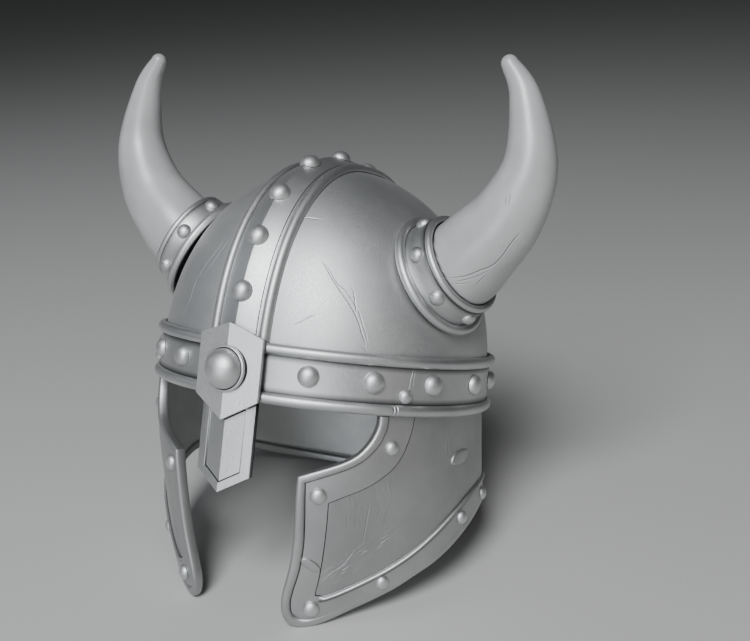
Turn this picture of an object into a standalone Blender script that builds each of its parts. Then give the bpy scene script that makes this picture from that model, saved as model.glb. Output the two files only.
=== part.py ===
# Horned iron helmet, standing by itself on its two cheek tips and the rear of its neck guard.
# Metres, +Z up. The helmet is modelled level, with its front towards -Y and the middle of the
# brow band at height 0, and then pitched back into the pose in which it stands.
# Angles around the helmet are in degrees from the front (0) to the back (180).

from math import atan2, cos, pi, radians, sin, sqrt

import bmesh
import bpy
import numpy as np
from mathutils import Matrix, Vector

MM = 0.001
GAP = 0.3 * MM
SEAT_GAP = 0.5 * MM

# Bowl, measured on its outer face
BOWL_HALF_WIDTH = 115.0 * MM
BOWL_HALF_LENGTH = 110.0 * MM
BOWL_HEIGHT = 136.0 * MM
BOWL_FULLNESS_FRONT = 2.3
BOWL_FULLNESS_SIDE_PLAN = 1.85
BOWL_FULLNESS_SIDE_RISE = 2.1
BOWL_RIM_Z = -4.0 * MM
BOWL_STEPS = 40
BOWL_FIT_STEPS = 6
SHEET_THICKNESS = 2.0 * MM

# Brow band, with a bead along each edge; offsets are from the bowl's oval
BAND_FACE = 1.6 * MM
BAND_TOP_BEAD_Z = 13.5 * MM
BAND_LOW_BEAD_Z = -16.7 * MM
BAND_BEAD_RADIUS = 3.6 * MM

# Crest band over the bowl
CREST_HALF_WIDTH = 21.4 * MM
CREST_BEAD_RADIUS = 3.2 * MM
CREST_RIDGE_HEIGHT = 6.4 * MM
CREST_END_Z = 17.6 * MM
CREST_STATIONS = 22

# Brow plate, boss and nasal guard; both plates are folded along a ridge on the centre line
PLATE_HALF_WIDTH = 22.9 * MM
PLATE_RIDGE_Y = -121.2 * MM
PLATE_SIDE_Y = -117.5 * MM
PLATE_TOP_Z = 26.7 * MM
PLATE_TOP_CORNER_Z = 18.5 * MM
PLATE_LOW_CORNER_Z = -19.6 * MM
PLATE_LOW_Z = -33.0 * MM
PLATE_THICKNESS = 3.4 * MM
PLATE_MOUNT_X = 15.2 * MM
PLATE_MOUNT_FOLD = 0.05 * MM
BOSS_Z = -1.5 * MM
BOSS_RADIUS = 12.4 * MM
BOSS_RISE = 10.35 * MM
BOSS_RING_RADIUS = 14.6 * MM
BOSS_STEPS = 20
NASAL_HALF_WIDTH = 19.5 * MM
NASAL_RIDGE_Y = -117.3 * MM
NASAL_SIDE_Y = -112.9 * MM
NASAL_TOP_Z = -21.0 * MM
NASAL_CORNER_Z = -66.8 * MM
NASAL_TIP_Z = -78.6 * MM
NASAL_THICKNESS = 3.4 * MM
NASAL_FRAME = ((4.5 * MM, 0.0), (0.7 * MM, 1.0 * MM))

# Neck guard, one sheet from cheek to cheek; it draws in towards the cheek tips and flares at the back
GUARD_HALF_WIDTH = 113.5 * MM
GUARD_HALF_LENGTH = 108.5 * MM
GUARD_TOP_Z = -4.4 * MM
GUARD_DRAW_START = 63.0 * MM
GUARD_DRAW_BLEND = 12.0 * MM
GUARD_DRAW_PER_METRE = 2.27
GUARD_FLARE_START = 12.0 * MM
GUARD_FLARE_SLOPE = 0.115
GUARD_LEVELS = 6
COLUMN_STEP = 1.0
ROLL_WIDTH = 6.6 * MM
STRIP_HEIGHT = 1.3 * MM
STRIP_GAP = 0.8 * MM
UPPER_BEAD_WIDTH = 4.4 * MM

# The trim's edge and its inner border, row by row from the brow band down the face opening, round
# the cheek tip and along the lower edge to the back. Angles in degrees, heights in mm, then how
# far the rolled edge stands proud and how high the bead on the inner border is, in mm.
TRIM_ROWS = [
    # edge angle, edge z, border angle, border z, roll, bead
    (47.2, -20.9, 60.4, -20.9, 3.1, 0.0),
    (47.1, -27.6, 60.0, -29.5, 3.1, 0.0),
    (45.3, -36.5, 58.2, -42.0, 3.1, 0.0),
    (41.9, -45.0, 55.2, -52.6, 3.1, 0.0),
    (37.8, -50.3, 50.3, -61.3, 3.1, 0.0),
    (33.2, -54.3, 45.2, -67.8, 3.1, 0.0),
    (28.3, -58.2, 39.9, -72.8, 3.1, 0.0),
    (23.6, -62.0, 34.6, -78.1, 3.1, 0.0),
    (23.6, -72.0, 34.8, -84.0, 3.1, 0.0),
    (23.8, -88.0, 35.1, -94.5, 3.1, 0.0),
    (24.0, -106.3, 35.3, -109.5, 3.1, 0.0),
    (23.2, -124.3, 35.2, -124.0, 3.1, 0.0),
    (21.5, -140.0, 34.7, -135.2, 3.1, 0.3),
    (21.1, -150.0, 34.4, -139.4, 3.1, 0.6),
    (22.4, -158.4, 34.5, -140.7, 2.9, 0.9),
    (25.3, -163.2, 35.0, -140.9, 2.6, 1.3),
    (29.9, -164.5, 36.2, -141.0, 2.2, 1.7),
    (35.7, -162.5, 38.0, -140.8, 1.9, 1.7),
    (41.6, -158.4, 41.2, -138.6, 1.7, 1.7),
    (49.6, -151.3, 46.9, -133.8, 1.6, 1.7),
    (57.8, -144.0, 53.2, -127.8, 1.6, 1.7),
    (65.3, -135.7, 59.0, -121.8, 1.6, 1.7),
    (71.8, -126.3, 64.4, -114.8, 1.6, 1.7),
    (78.0, -117.8, 69.6, -106.6, 1.6, 1.7),
    (83.7, -108.9, 75.0, -96.8, 1.6, 1.7),
    (89.4, -99.9, 81.2, -85.6, 1.6, 1.7),
    (93.0, -95.0, 85.5, -79.2, 1.6, 1.7),
    (96.5, -90.7, 90.0, -73.4, 1.6, 1.7),
    (100.1, -87.4, 95.5, -69.0, 1.6, 1.7),
    (104.0, -85.4, 101.5, -66.2, 1.6, 1.7),
    (112.0, -85.0, 112.0, -65.2, 1.6, 1.7),
    (120.0, -86.8, 120.3, -67.0, 1.6, 1.7),
    (128.0, -89.6, 128.4, -69.8, 1.6, 1.7),
    (136.0, -92.1, 136.3, -72.3, 1.6, 1.7),
    (144.0, -94.0, 144.2, -74.2, 1.6, 1.7),
    (153.0, -95.4, 153.0, -75.5, 1.6, 1.7),
    (162.0, -96.3, 162.0, -76.4, 1.6, 1.7),
    (171.0, -96.7, 171.0, -76.7, 1.6, 1.7),
    (180.0, -96.8, 180.0, -76.8, 1.6, 1.7),
]
SHARP_ROW = 7
TOE_ROW = 14

# Horns, given for the wearer's left (+X); the right one is its mirror image
HORN_ROWS = [
    # x, y, z, radius, all in mm, from inside the collar to the tip
    (99.7, -26.9, 72.4, 28.2),
    (108.6, -29.0, 77.5, 28.2),
    (119.1, -33.0, 86.9, 26.9),
    (138.9, -37.5, 109.7, 22.5),
    (150.4, -41.1, 141.6, 16.7),
    (144.3, -47.0, 180.6, 9.6),
    (133.7, -50.8, 199.3, 5.3),
]
COLLAR_CENTRE = Vector((93.15, -25.4, 68.6)) * MM
COLLAR_AXIS = Vector((0.85, -0.20, 0.49)).normalized()
FLANGE_BEAD_RING = 38.4 * MM
FLANGE_BEAD_RADIUS = 3.1 * MM
ROOT_BEAD_RING = 31.4 * MM
ROOT_BEAD_RADIUS = 2.4 * MM
ROOT_BEAD_RISE = 17.8 * MM
COLLAR_WALL_RADIUS = 34.2 * MM
COLLAR_HOLE_RADIUS = 29.0 * MM
COLLAR_STATIONS = 24
COLLAR_RIVETS = 7
COLLAR_RIVET = (5.3 * MM, 4.6 * MM)
COLLAR_RIVET_RISE = 9.5 * MM
COLLAR_RIVET_PHASE = 39.0

# Rivets: radius and height of the heads, and where they stand
BAND_RIVET = (6.8 * MM, 5.0 * MM)
BAND_RIVET_Z = -0.4 * MM
BAND_RIVET_ANGLES = [24, 44, 65, 87, 109, 133, 156, 180]
MEND_RIVET = (4.6 * MM, 3.6 * MM)
MEND_RIVET_ANGLE = 55.0
MEND_RIVET_Z = -7.8 * MM
CREST_RIVET = (7.0 * MM, 4.6 * MM)
CREST_RIVET_FOLD = 0.28
CREST_WALK_STEP = 0.002
CREST_RIVET_ARCS = (46.0, 83.0, 118.0, 158.5, 200.0, 241.5, 282.0, 317.0, 354.0)
GUARD_RIVET = (5.4 * MM, 3.6 * MM)
GUARD_SMALL_RIVET = (4.4 * MM, 3.0 * MM)
GUARD_RIVET_SEAT = STRIP_HEIGHT + 0.2 * MM
GUARD_RIVET_SPOTS = [
    # name, angle, height in mm, head
    ("cheek_corner", 30.8, -73.5, GUARD_RIVET),
    ("cheek_upper", 53.1, -40.7, GUARD_SMALL_RIVET),
    ("cheek_tip", 33.3, -150.3, GUARD_RIVET),
    ("lower_front", 60.0, -130.5, GUARD_SMALL_RIVET),
    ("lower_side", 87.5, -88.6, GUARD_SMALL_RIVET),
    ("lower_turn", 104.0, -77.5, GUARD_SMALL_RIVET),
    ("lower_rear", 128.0, -79.8, GUARD_SMALL_RIVET),
    ("lower_back", 154.0, -85.6, GUARD_SMALL_RIVET),
]
REAR_RIVET_Z = -86.8 * MM

# The standing pose is found between points at least this far before and behind the middle
CONTACT_SPLIT = 40.0 * MM


def clear_scene():
    for old in list(bpy.data.objects):
        bpy.data.objects.remove(old, do_unlink=True)


def make_collection(name):
    collection = bpy.data.collections.new(name)
    bpy.context.scene.collection.children.link(collection)
    return collection


def make_material(name, color, roughness, metallic):
    material = bpy.data.materials.new(name)
    material.use_nodes = True
    shader = material.node_tree.nodes["Principled BSDF"]
    shader.inputs["Base Color"].default_value = (*color, 1.0)
    shader.inputs["Roughness"].default_value = roughness
    shader.inputs["Metallic"].default_value = metallic
    return material


def add_object(name, mesh, material):
    mesh.shade_smooth()
    mesh.set_sharp_from_angle(angle=radians(35))
    mesh.materials.append(material)
    obj = bpy.data.objects.new(name, mesh)
    helmet.objects.link(obj)
    return obj


def mesh_from_bmesh(name, bm):
    bmesh.ops.recalc_face_normals(bm, faces=bm.faces)
    mesh = bpy.data.meshes.new(name)
    bm.to_mesh(mesh)
    bm.free()
    return mesh


def apply_modifiers(obj):
    # swap the object's mesh for its evaluated one, so that it can be mirrored or cut again
    graph = bpy.context.evaluated_depsgraph_get()
    mesh = bpy.data.meshes.new_from_object(obj.evaluated_get(graph))
    obj.modifiers.clear()
    obj.data = mesh


def mirrored(obj, name):
    # a copy on the other side of the centre plane, with its faces turned back outwards
    mesh = obj.data.copy()
    mesh.transform(Matrix.Scale(-1, 4, (1, 0, 0)) @ obj.matrix_basis)
    mesh.flip_normals()
    copy = bpy.data.objects.new(name, mesh)
    helmet.objects.link(copy)
    return copy


def loft(name, sections, closed_path):
    # a closed skin through rings of points that all have the same length
    bm = bmesh.new()
    rings = [[bm.verts.new(point) for point in section] for section in sections]
    count = len(rings[0])
    pairs = list(zip(rings, rings[1:]))
    if closed_path:
        pairs.append((rings[-1], rings[0]))
    for ring, following in pairs:
        for i in range(count):
            j = (i + 1) % count
            bm.faces.new((ring[i], ring[j], following[j], following[i]))
    if not closed_path:
        bm.faces.new(rings[0])
        bm.faces.new(list(reversed(rings[-1])))
    return mesh_from_bmesh(name, bm)


def catmull_rom(rows, per_span, sharp=None):
    # smooth rows through a table, with the table's own rows kept and a corner at the sharp one
    table = np.array(rows, dtype=float)
    last = len(table) - 1
    result = []
    for i in range(last):
        before = table[i - 1] if i > 0 and i != sharp else table[i]
        after = table[i + 2] if i + 2 <= last and i + 1 != sharp else table[i + 1]
        for step in range(per_span):
            t = step / per_span
            start, end = table[i], table[i + 1]
            result.append(0.5 * (2 * start + (end - before) * t
                                 + (2 * before - 5 * start + 4 * end - after) * t ** 2
                                 + (3 * start - before - 3 * end + after) * t ** 3))
    result.append(table[last])
    return result


def bead_arc(centre, radius, start, end, steps):
    # points on a round bead's section, from one angle in degrees to another
    angles = [radians(start + (end - start) * i / (steps - 1)) for i in range(steps)]
    return [(centre[0] + radius * cos(a), centre[1] + radius * sin(a)) for a in angles]


# 1 on the bowl's outer face, less inside it. The bowl is fuller towards the front and back.
def bowl_level(point):
    across = (point[0] / BOWL_HALF_WIDTH) ** 2
    along = (point[1] / BOWL_HALF_LENGTH) ** 2
    oval = sqrt(across + along)
    share = across / max(across + along, 1e-12)
    plan = BOWL_FULLNESS_FRONT + (BOWL_FULLNESS_SIDE_PLAN - BOWL_FULLNESS_FRONT) * share
    rise = BOWL_FULLNESS_FRONT + (BOWL_FULLNESS_SIDE_RISE - BOWL_FULLNESS_FRONT) * share
    return (oval ** plan + abs(point[2] / BOWL_HEIGHT) ** rise) ** (2 / (plan + rise))


# Radius fraction and height on the bowl's front profile, from the rim (0) to the top (90 degrees)
def bowl_curve(t):
    power = 2 / BOWL_FULLNESS_FRONT
    return max(cos(t), 0.0) ** power, BOWL_HEIGHT * max(sin(t), 0.0) ** power


def make_bowl():
    angles = [radians(a) for a in (83, 70, 57, 44, 30, 15)]
    profile = [(cos(a), BOWL_HEIGHT * sin(a)) for a in angles] + [(1.0, 0.0), (1.0, BOWL_RIM_Z)]
    bm = bmesh.new()
    line = [bm.verts.new((r * BOWL_HALF_WIDTH, 0, z)) for r, z in profile]
    edges = [bm.edges.new(pair) for pair in zip(line, line[1:])]
    bmesh.ops.spin(bm, geom=line + edges, cent=(0, 0, 0), axis=(0, 0, 1), angle=2 * pi, steps=BOWL_STEPS)
    bmesh.ops.remove_doubles(bm, verts=bm.verts, dist=0.01 * MM)
    top_loop = [edge for edge in bm.edges if edge.is_boundary and edge.verts[0].co.z > 0]
    cap = bmesh.ops.contextual_create(bm, geom=top_loop)
    bmesh.ops.poke(bm, faces=cap["faces"])
    bmesh.ops.scale(bm, vec=(1, BOWL_HALF_LENGTH / BOWL_HALF_WIDTH, 1), verts=bm.verts)
    for vert in bm.verts:
        for _ in range(BOWL_FIT_STEPS if vert.co.z > 0 else 0):
            vert.co /= bowl_level(vert.co)
    bowl = add_object("bowl", mesh_from_bmesh("bowl", bm), iron)
    shell = bowl.modifiers.new("sheet", "SOLIDIFY")
    shell.thickness = SHEET_THICKNESS
    shell.offset = -1
    shell.use_even_offset = True
    return bowl


def oval_point(angle, offset, z):
    half_width = BOWL_HALF_WIDTH + offset
    half_length = BOWL_HALF_LENGTH + offset
    return Vector((half_width * sin(radians(angle)), -half_length * cos(radians(angle)), z))


def make_brow_band():
    top = bead_arc((BAND_FACE, BAND_TOP_BEAD_Z), BAND_BEAD_RADIUS, -90, 110, 6)
    low = bead_arc((BAND_FACE, BAND_LOW_BEAD_Z), BAND_BEAD_RADIUS, -110, 90, 6)
    inner = [(GAP, BAND_TOP_BEAD_Z + 2.0 * MM), (GAP, BAND_LOW_BEAD_Z)]
    section = low + top + inner
    stations = [360 * i / BOWL_STEPS for i in range(BOWL_STEPS)]
    sections = [[oval_point(a, offset, z) for offset, z in section] for a in stations]
    return add_object("brow_band", loft("brow_band", sections, True), iron)


def crest_frame(t, x):
    # point on the bowl at a sideways distance x, and the outward direction, at the profile angle t
    fraction, z = bowl_curve(min(t, pi - t))
    y = -fraction * BOWL_HALF_LENGTH * (1 if t <= pi / 2 else -1)
    shrink = 1.0
    for _ in range(2 * BOWL_FIT_STEPS):
        shrink /= bowl_level((x, y * shrink, z * shrink))
    low, high = bowl_curve(min(t, pi - t) - 0.01), bowl_curve(min(t, pi - t) + 0.01)
    run = (high[0] - low[0]) * BOWL_HALF_LENGTH
    rise = high[1] - low[1]
    sign = -1 if t <= pi / 2 else 1
    outward = Vector((0, sign * rise, -run)).normalized()
    return Vector((x, y * shrink, z * shrink)), outward


def crest_angle_at(z):
    # profile angle at which the bowl's front reaches a height
    low, high = 0.0, pi / 2
    for _ in range(40):
        middle = (low + high) / 2
        if bowl_curve(middle)[1] < z:
            low = middle
        else:
            high = middle
    return low


def crest_ridge(t):
    # point on the crest band's ridge at the profile angle t
    base, outward = crest_frame(t, 0.0)
    return base + outward * CREST_RIDGE_HEIGHT, outward


def make_crest():
    bead_x = CREST_HALF_WIDTH - CREST_BEAD_RADIUS
    bead = bead_arc((bead_x, 1.3 * MM), CREST_BEAD_RADIUS, -14, 165, 5)
    right = bead + [(0.0, CREST_RIDGE_HEIGHT)]
    left = [(-x, h) for x, h in reversed(bead)]
    under = [(share * bead_x, SEAT_GAP) for share in (-1.1, -0.5, 0.0, 0.5, 1.1)]
    section = right + left + under
    start = crest_angle_at(CREST_END_Z)
    sections = []
    for i in range(CREST_STATIONS + 1):
        t = start + (pi - 2 * start) * i / CREST_STATIONS
        sections.append([])
        for x, height in section:
            base, outward = crest_frame(t, x)
            sections[-1].append(base + outward * height)
    return add_object("crest_band", loft("crest_band", sections, False), iron)


# A plate folded along the centre line, from a half outline that runs from the top to the tip. Each
# step of the frame is a width inwards from the plate's edge and how far the panel inside it sinks.
def folded_plate(name, outline, ridge_y, side_y, half_width, thickness, frame=()):
    bm = bmesh.new()

    def vert(x, z):
        return bm.verts.new((x, ridge_y + (side_y - ridge_y) * abs(x) / half_width, z))

    top, tip = vert(0, outline[0]), vert(0, outline[-1])
    for side in (1, -1):
        corners = [vert(side * x, z) for x, z in outline[1:-1]]
        bm.faces.new([top] + corners + [tip])
    bmesh.ops.recalc_face_normals(bm, faces=bm.faces)
    panel = bm.faces[:]
    for width, depth in frame:
        bmesh.ops.inset_region(bm, faces=panel, thickness=width, use_boundary=True,
                               use_even_offset=True)
        verts = {v for face in panel for v in face.verts}
        bmesh.ops.translate(bm, verts=list(verts), vec=(0, depth, 0))
    back = bmesh.ops.duplicate(bm, geom=bm.verts[:] + bm.edges[:] + bm.faces[:])["geom"]
    back_verts = [g for g in back if isinstance(g, bmesh.types.BMVert)]
    back_faces = [g for g in back if isinstance(g, bmesh.types.BMFace)]
    bmesh.ops.reverse_faces(bm, faces=back_faces)
    bmesh.ops.translate(bm, verts=back_verts, vec=(0, thickness, 0))
    rims = [edge for edge in bm.edges if edge.is_boundary]
    bmesh.ops.bridge_loops(bm, edges=rims)
    return mesh_from_bmesh(name, bm)


def add_bevel(obj, width, segments=1):
    bevel = obj.modifiers.new("edge", "BEVEL")
    bevel.width = width
    bevel.segments = segments
    bevel.limit_method = "ANGLE"
    bevel.angle_limit = radians(40)
    bevel.use_clamp_overlap = True


def plate_mesh(name, forward, grow, thickness):
    outline = [PLATE_TOP_Z + grow, (PLATE_HALF_WIDTH + grow, PLATE_TOP_CORNER_Z + grow),
               (PLATE_HALF_WIDTH + grow, PLATE_LOW_CORNER_Z - grow), PLATE_LOW_Z - grow]
    slope = (PLATE_SIDE_Y - PLATE_RIDGE_Y) / PLATE_HALF_WIDTH
    ridge = PLATE_RIDGE_Y - forward
    width = PLATE_HALF_WIDTH + grow
    return folded_plate(name, outline, ridge, ridge + slope * width, width, thickness)


def make_plate():
    mesh = plate_mesh("brow_plate", 0.0, 0.0, PLATE_THICKNESS)
    bm = bmesh.new()
    bm.from_mesh(mesh)
    # a very slight fold beside the boss, so that the flat face outside it is a face of its own
    for side in (1, -1):
        cut = bmesh.ops.bisect_plane(bm, geom=bm.verts[:] + bm.edges[:] + bm.faces[:],
                                     plane_co=(side * PLATE_MOUNT_X, 0, 0), plane_no=(1, 0, 0))
        fold = [g for g in cut["geom_cut"] if isinstance(g, bmesh.types.BMVert)]
        bmesh.ops.translate(bm, verts=fold, vec=(0, PLATE_MOUNT_FOLD, 0))
    bm.to_mesh(mesh)
    bm.free()
    plate = add_object("brow_plate", mesh, iron)
    add_bevel(plate, 0.6 * MM)
    return plate


def lathe(name, profile, steps):
    # a solid turned around +Z, from (radius, height) pairs that start and end on the axis
    bm = bmesh.new()
    line = [bm.verts.new((r, 0, z)) for r, z in profile]
    edges = [bm.edges.new(pair) for pair in zip(line, line[1:])]
    bmesh.ops.spin(bm, geom=line + edges, cent=(0, 0, 0), axis=(0, 0, 1), angle=2 * pi, steps=steps)
    bmesh.ops.remove_doubles(bm, verts=bm.verts, dist=0.005 * MM)
    return mesh_from_bmesh(name, bm)


def make_boss():
    dome = [(BOSS_RADIUS * cos(radians(a)), 2.0 * MM + BOSS_RISE * sin(radians(a)))
            for a in (90, 68, 46, 24, 2)]
    ring = [(BOSS_RADIUS + 0.5 * MM, 1.6 * MM), (BOSS_RING_RADIUS - 1.0 * MM, 2.2 * MM),
            (BOSS_RING_RADIUS, 1.2 * MM), (BOSS_RING_RADIUS, -4.0 * MM), (0.0, -4.0 * MM)]
    boss = add_object("plate_boss", lathe("plate_boss", dome + ring, BOSS_STEPS), iron)
    boss.location = (0, PLATE_RIDGE_Y, BOSS_Z)
    boss.rotation_euler = (radians(90), 0, 0)
    cutter = bpy.data.objects.new("boss_cutter", plate_mesh("boss_cutter", GAP, 4 * MM, 12 * MM))
    cutter.hide_render = True
    cutter.display_type = "WIRE"
    cutters.objects.link(cutter)
    seat = boss.modifiers.new("seat", "BOOLEAN")
    seat.operation = "DIFFERENCE"
    seat.solver = "EXACT"
    seat.object = cutter
    return boss


def make_nasal():
    outline = [NASAL_TOP_Z, (NASAL_HALF_WIDTH, NASAL_TOP_Z), (NASAL_HALF_WIDTH, NASAL_CORNER_Z),
               NASAL_TIP_Z]
    mesh = folded_plate("nasal_guard", outline, NASAL_RIDGE_Y, NASAL_SIDE_Y, NASAL_HALF_WIDTH,
                        NASAL_THICKNESS, frame=NASAL_FRAME)
    nasal = add_object("nasal_guard", mesh, iron)
    add_bevel(nasal, 0.5 * MM)
    return nasal


def smooth_step(value, low, high):
    t = min(max((value - low) / (high - low), 0.0), 1.0)
    return t * t * (3 - 2 * t)


# Point on the neck guard's outer face
def guard_face(angle, z):
    below = -z - GUARD_DRAW_START
    drawn = (sqrt(below ** 2 + GUARD_DRAW_BLEND ** 2) + below) / 2
    fraction = 1 - GUARD_DRAW_PER_METRE * drawn * (1 - smooth_step(angle, 45, 110))
    flare = GUARD_FLARE_SLOPE * max(-z - GUARD_FLARE_START, 0.0) * smooth_step(angle, 55, 105)
    turn = radians(angle)
    return Vector(((GUARD_HALF_WIDTH * fraction + flare) * sin(turn),
                   -(GUARD_HALF_LENGTH * fraction + flare) * cos(turn), z))


def guard_normal(angle, z):
    around = guard_face(angle + 0.5, z) - guard_face(angle - 0.5, z)
    along = guard_face(angle, z + 0.5 * MM) - guard_face(angle, z - 0.5 * MM)
    return around.cross(along).normalized()


def guard_point(angle, z, height):
    return guard_face(angle, z) + guard_normal(angle, z) * height


# Closed section of the trim: rolled edge, flat strip with its inner bead, and the underside
def trim_section(row):
    edge_angle, edge_z, border_angle, border_z, roll, bead = row
    width = (guard_face(edge_angle, edge_z * MM) - guard_face(border_angle, border_z * MM)).length
    roll, bead = roll * MM, bead * MM
    inside = -SHEET_THICKNESS - 0.75 * roll
    top = STRIP_HEIGHT
    bead_start = width - UPPER_BEAD_WIDTH
    shape = [(0.0, roll - 1.6 * MM), (1.6 * MM, roll), (ROLL_WIDTH - 1.8 * MM, roll),
             (ROLL_WIDTH, top), (bead_start, top), (bead_start + 1.1 * MM, top + bead),
             (width - 1.1 * MM, top + bead), (width, top - 0.2 * MM), (width, STRIP_GAP),
             (ROLL_WIDTH, STRIP_GAP), (ROLL_WIDTH - 0.8 * MM, inside), (0.8 * MM, inside)]
    points = []
    for distance, height in shape:
        blend = distance / width
        angle = edge_angle + (border_angle - edge_angle) * blend
        z = (edge_z + (border_z - edge_z) * blend) * MM
        points.append(guard_point(angle, z, height))
    return points


def make_guard_trim():
    left = [trim_section(row) for row in TRIM_ROWS]
    right = [[Vector((-p.x, p.y, p.z)) for p in section] for section in reversed(left[:-1])]
    return add_object("guard_trim", loft("guard_trim", left + right, False), iron)


def sheet_edge(row):
    # angle and height of the sheet's own edge, just inside the trim's rolled edge
    edge_angle, edge_z, border_angle, border_z = row[:4]
    width = (guard_face(edge_angle, edge_z * MM) - guard_face(border_angle, border_z * MM)).length
    blend = (ROLL_WIDTH + SEAT_GAP) / width
    return edge_angle + (border_angle - edge_angle) * blend, edge_z + (border_z - edge_z) * blend


def make_neck_guard():
    opening = sorted(sheet_edge(row) for row in TRIM_ROWS[:SHARP_ROW + 1])
    lower = sorted(sheet_edge(row) for row in TRIM_ROWS[TOE_ROW:])
    front = max(sheet_edge(row)[0] for row in TRIM_ROWS[SHARP_ROW:TOE_ROW])
    opening_angles, opening_heights = zip(*opening)
    lower_angles, lower_heights = zip(*lower)
    angles = [front] + [angle for angle in opening_angles if angle > front + COLUMN_STEP]
    angles.append(opening_angles[-1] + COLUMN_STEP)
    for angle in lower_angles:
        if angle > angles[0] and min(abs(angle - other) for other in angles) >= COLUMN_STEP:
            angles.append(angle)
    columns = []
    for angle in sorted(angles):
        low = float(np.interp(angle, lower_angles, lower_heights)) * MM
        high = GUARD_TOP_Z
        if angle <= opening_angles[-1]:
            high = float(np.interp(angle, opening_angles, opening_heights)) * MM
        heights = [low + (high - low) * i / GUARD_LEVELS for i in range(GUARD_LEVELS + 1)]
        outer = [guard_point(angle, z, 0.0) for z in heights]
        inner = [guard_point(angle, z, -SHEET_THICKNESS) for z in reversed(heights)]
        columns.append(outer + inner)
    other = [[Vector((-p.x, p.y, p.z)) for p in column] for column in reversed(columns[:-1])]
    return add_object("neck_guard", loft("neck_guard", columns + other, False), iron)


def make_horn(name, side):
    stations = catmull_rom(HORN_ROWS, 2)
    tip, before = stations[-1], stations[-2]
    heading = (tip[:3] - before[:3]) / np.linalg.norm(tip[:3] - before[:3])
    radius = tip[3]
    for reach, share in ((0.5, 0.87), (0.85, 0.52), (1.0, 0.2)):
        stations.append(np.append(tip[:3] + heading * radius * reach, radius * share))
    curve = bpy.data.curves.new(name, "CURVE")
    curve.dimensions = "3D"
    curve.bevel_depth = 1.0
    curve.bevel_resolution = 3
    curve.use_fill_caps = True
    spline = curve.splines.new("POLY")
    spline.points.add(len(stations) - 1)
    for point, (x, y, z, r) in zip(spline.points, stations):
        point.co = (side * x * MM, y * MM, z * MM, 1.0)
        point.radius = r * MM
    curve.materials.append(horn_material)
    horn = bpy.data.objects.new(name, curve)
    helmet.objects.link(horn)
    return horn


def collar_axes():
    across = COLLAR_AXIS.cross(Vector((0, 0, 1))).normalized()
    return across, COLLAR_AXIS.cross(across).normalized()


def collar_point(turn, radius, rise):
    across, up = collar_axes()
    around = across * cos(turn) + up * sin(turn)
    return COLLAR_CENTRE + around * radius + COLLAR_AXIS * rise


def bowl_rise(turn, radius):
    # how far along the collar's axis the bowl's face lies, at a radius and a turn around the axis
    low, high = -40 * MM, 40 * MM
    for _ in range(40):
        middle = (low + high) / 2
        if bowl_level(collar_point(turn, radius, middle)) < 1:
            low = middle
        else:
            high = middle
    return low


def collar_section(turn):
    flange = bead_arc((FLANGE_BEAD_RING, 0.0), FLANGE_BEAD_RADIUS, -20, 150, 5)
    wall = [(COLLAR_WALL_RADIUS + 1.6 * MM, 5.0 * MM), (COLLAR_WALL_RADIUS, 10.0 * MM)]
    root = bead_arc((ROOT_BEAD_RING, ROOT_BEAD_RISE), ROOT_BEAD_RADIUS, -30, 180, 5)
    points = [collar_point(turn, r, rise) for r, rise in flange + wall + root]
    inner = COLLAR_HOLE_RADIUS + 1.0 * MM
    outer = FLANGE_BEAD_RING + FLANGE_BEAD_RADIUS
    points.append(collar_point(turn, inner, bowl_rise(turn, inner) + 1.2 * GAP))
    points.append(collar_point(turn, outer, bowl_rise(turn, outer) + 1.2 * GAP))
    return points


def rivet_mesh(name, head, sides=10, fold=0.0):
    # a domed head standing on z = 0; with a fold its seat follows a ridge that runs along Y
    radius, height = head
    bm = bmesh.new()
    bmesh.ops.create_circle(bm, cap_ends=False, segments=sides, radius=radius)
    rim = list(bm.verts)
    for vert in rim:
        vert.co.z = -fold * abs(vert.co.x)
    ring = rim
    for level in (25, 58):
        lifted = []
        for vert in rim:
            flat = Vector((vert.co.x, vert.co.y, 0)) * cos(radians(level))
            lifted.append(bm.verts.new(flat + Vector((0, 0, height * sin(radians(level))))))
        for i in range(sides):
            j = (i + 1) % sides
            bm.faces.new((ring[i], ring[j], lifted[j], lifted[i]))
        ring = lifted
    crown = bm.verts.new((0, 0, height))
    for i in range(sides):
        bm.faces.new((ring[i], ring[(i + 1) % sides], crown))
    if fold:
        half = sides // 2
        start = min(range(sides), key=lambda i: (abs(rim[i].co.x), rim[i].co.y))
        order = rim[start:] + rim[:start]
        bm.faces.new(order[:half + 1])
        bm.faces.new(order[half:] + order[:1])
    else:
        bm.faces.new(rim)
    return mesh_from_bmesh(name, bm)


def place_rivet(name, mesh, point, outward, ahead=Vector((0, 0, 1))):
    # stand a rivet on a face, with its own Y axis as near as may be to the direction ahead
    z_axis = outward.normalized()
    x_axis = ahead.cross(z_axis).normalized()
    y_axis = z_axis.cross(x_axis)
    rivet = bpy.data.objects.new(name, mesh)
    helmet.objects.link(rivet)
    turn = Matrix((x_axis, y_axis, z_axis)).transposed().to_4x4()
    rivet.matrix_world = Matrix.Translation(point + z_axis * GAP) @ turn
    return rivet


def finish_rivet_mesh(mesh):
    mesh.shade_smooth()
    mesh.set_sharp_from_angle(angle=radians(35))
    mesh.materials.append(rivet_iron)
    return mesh


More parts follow.
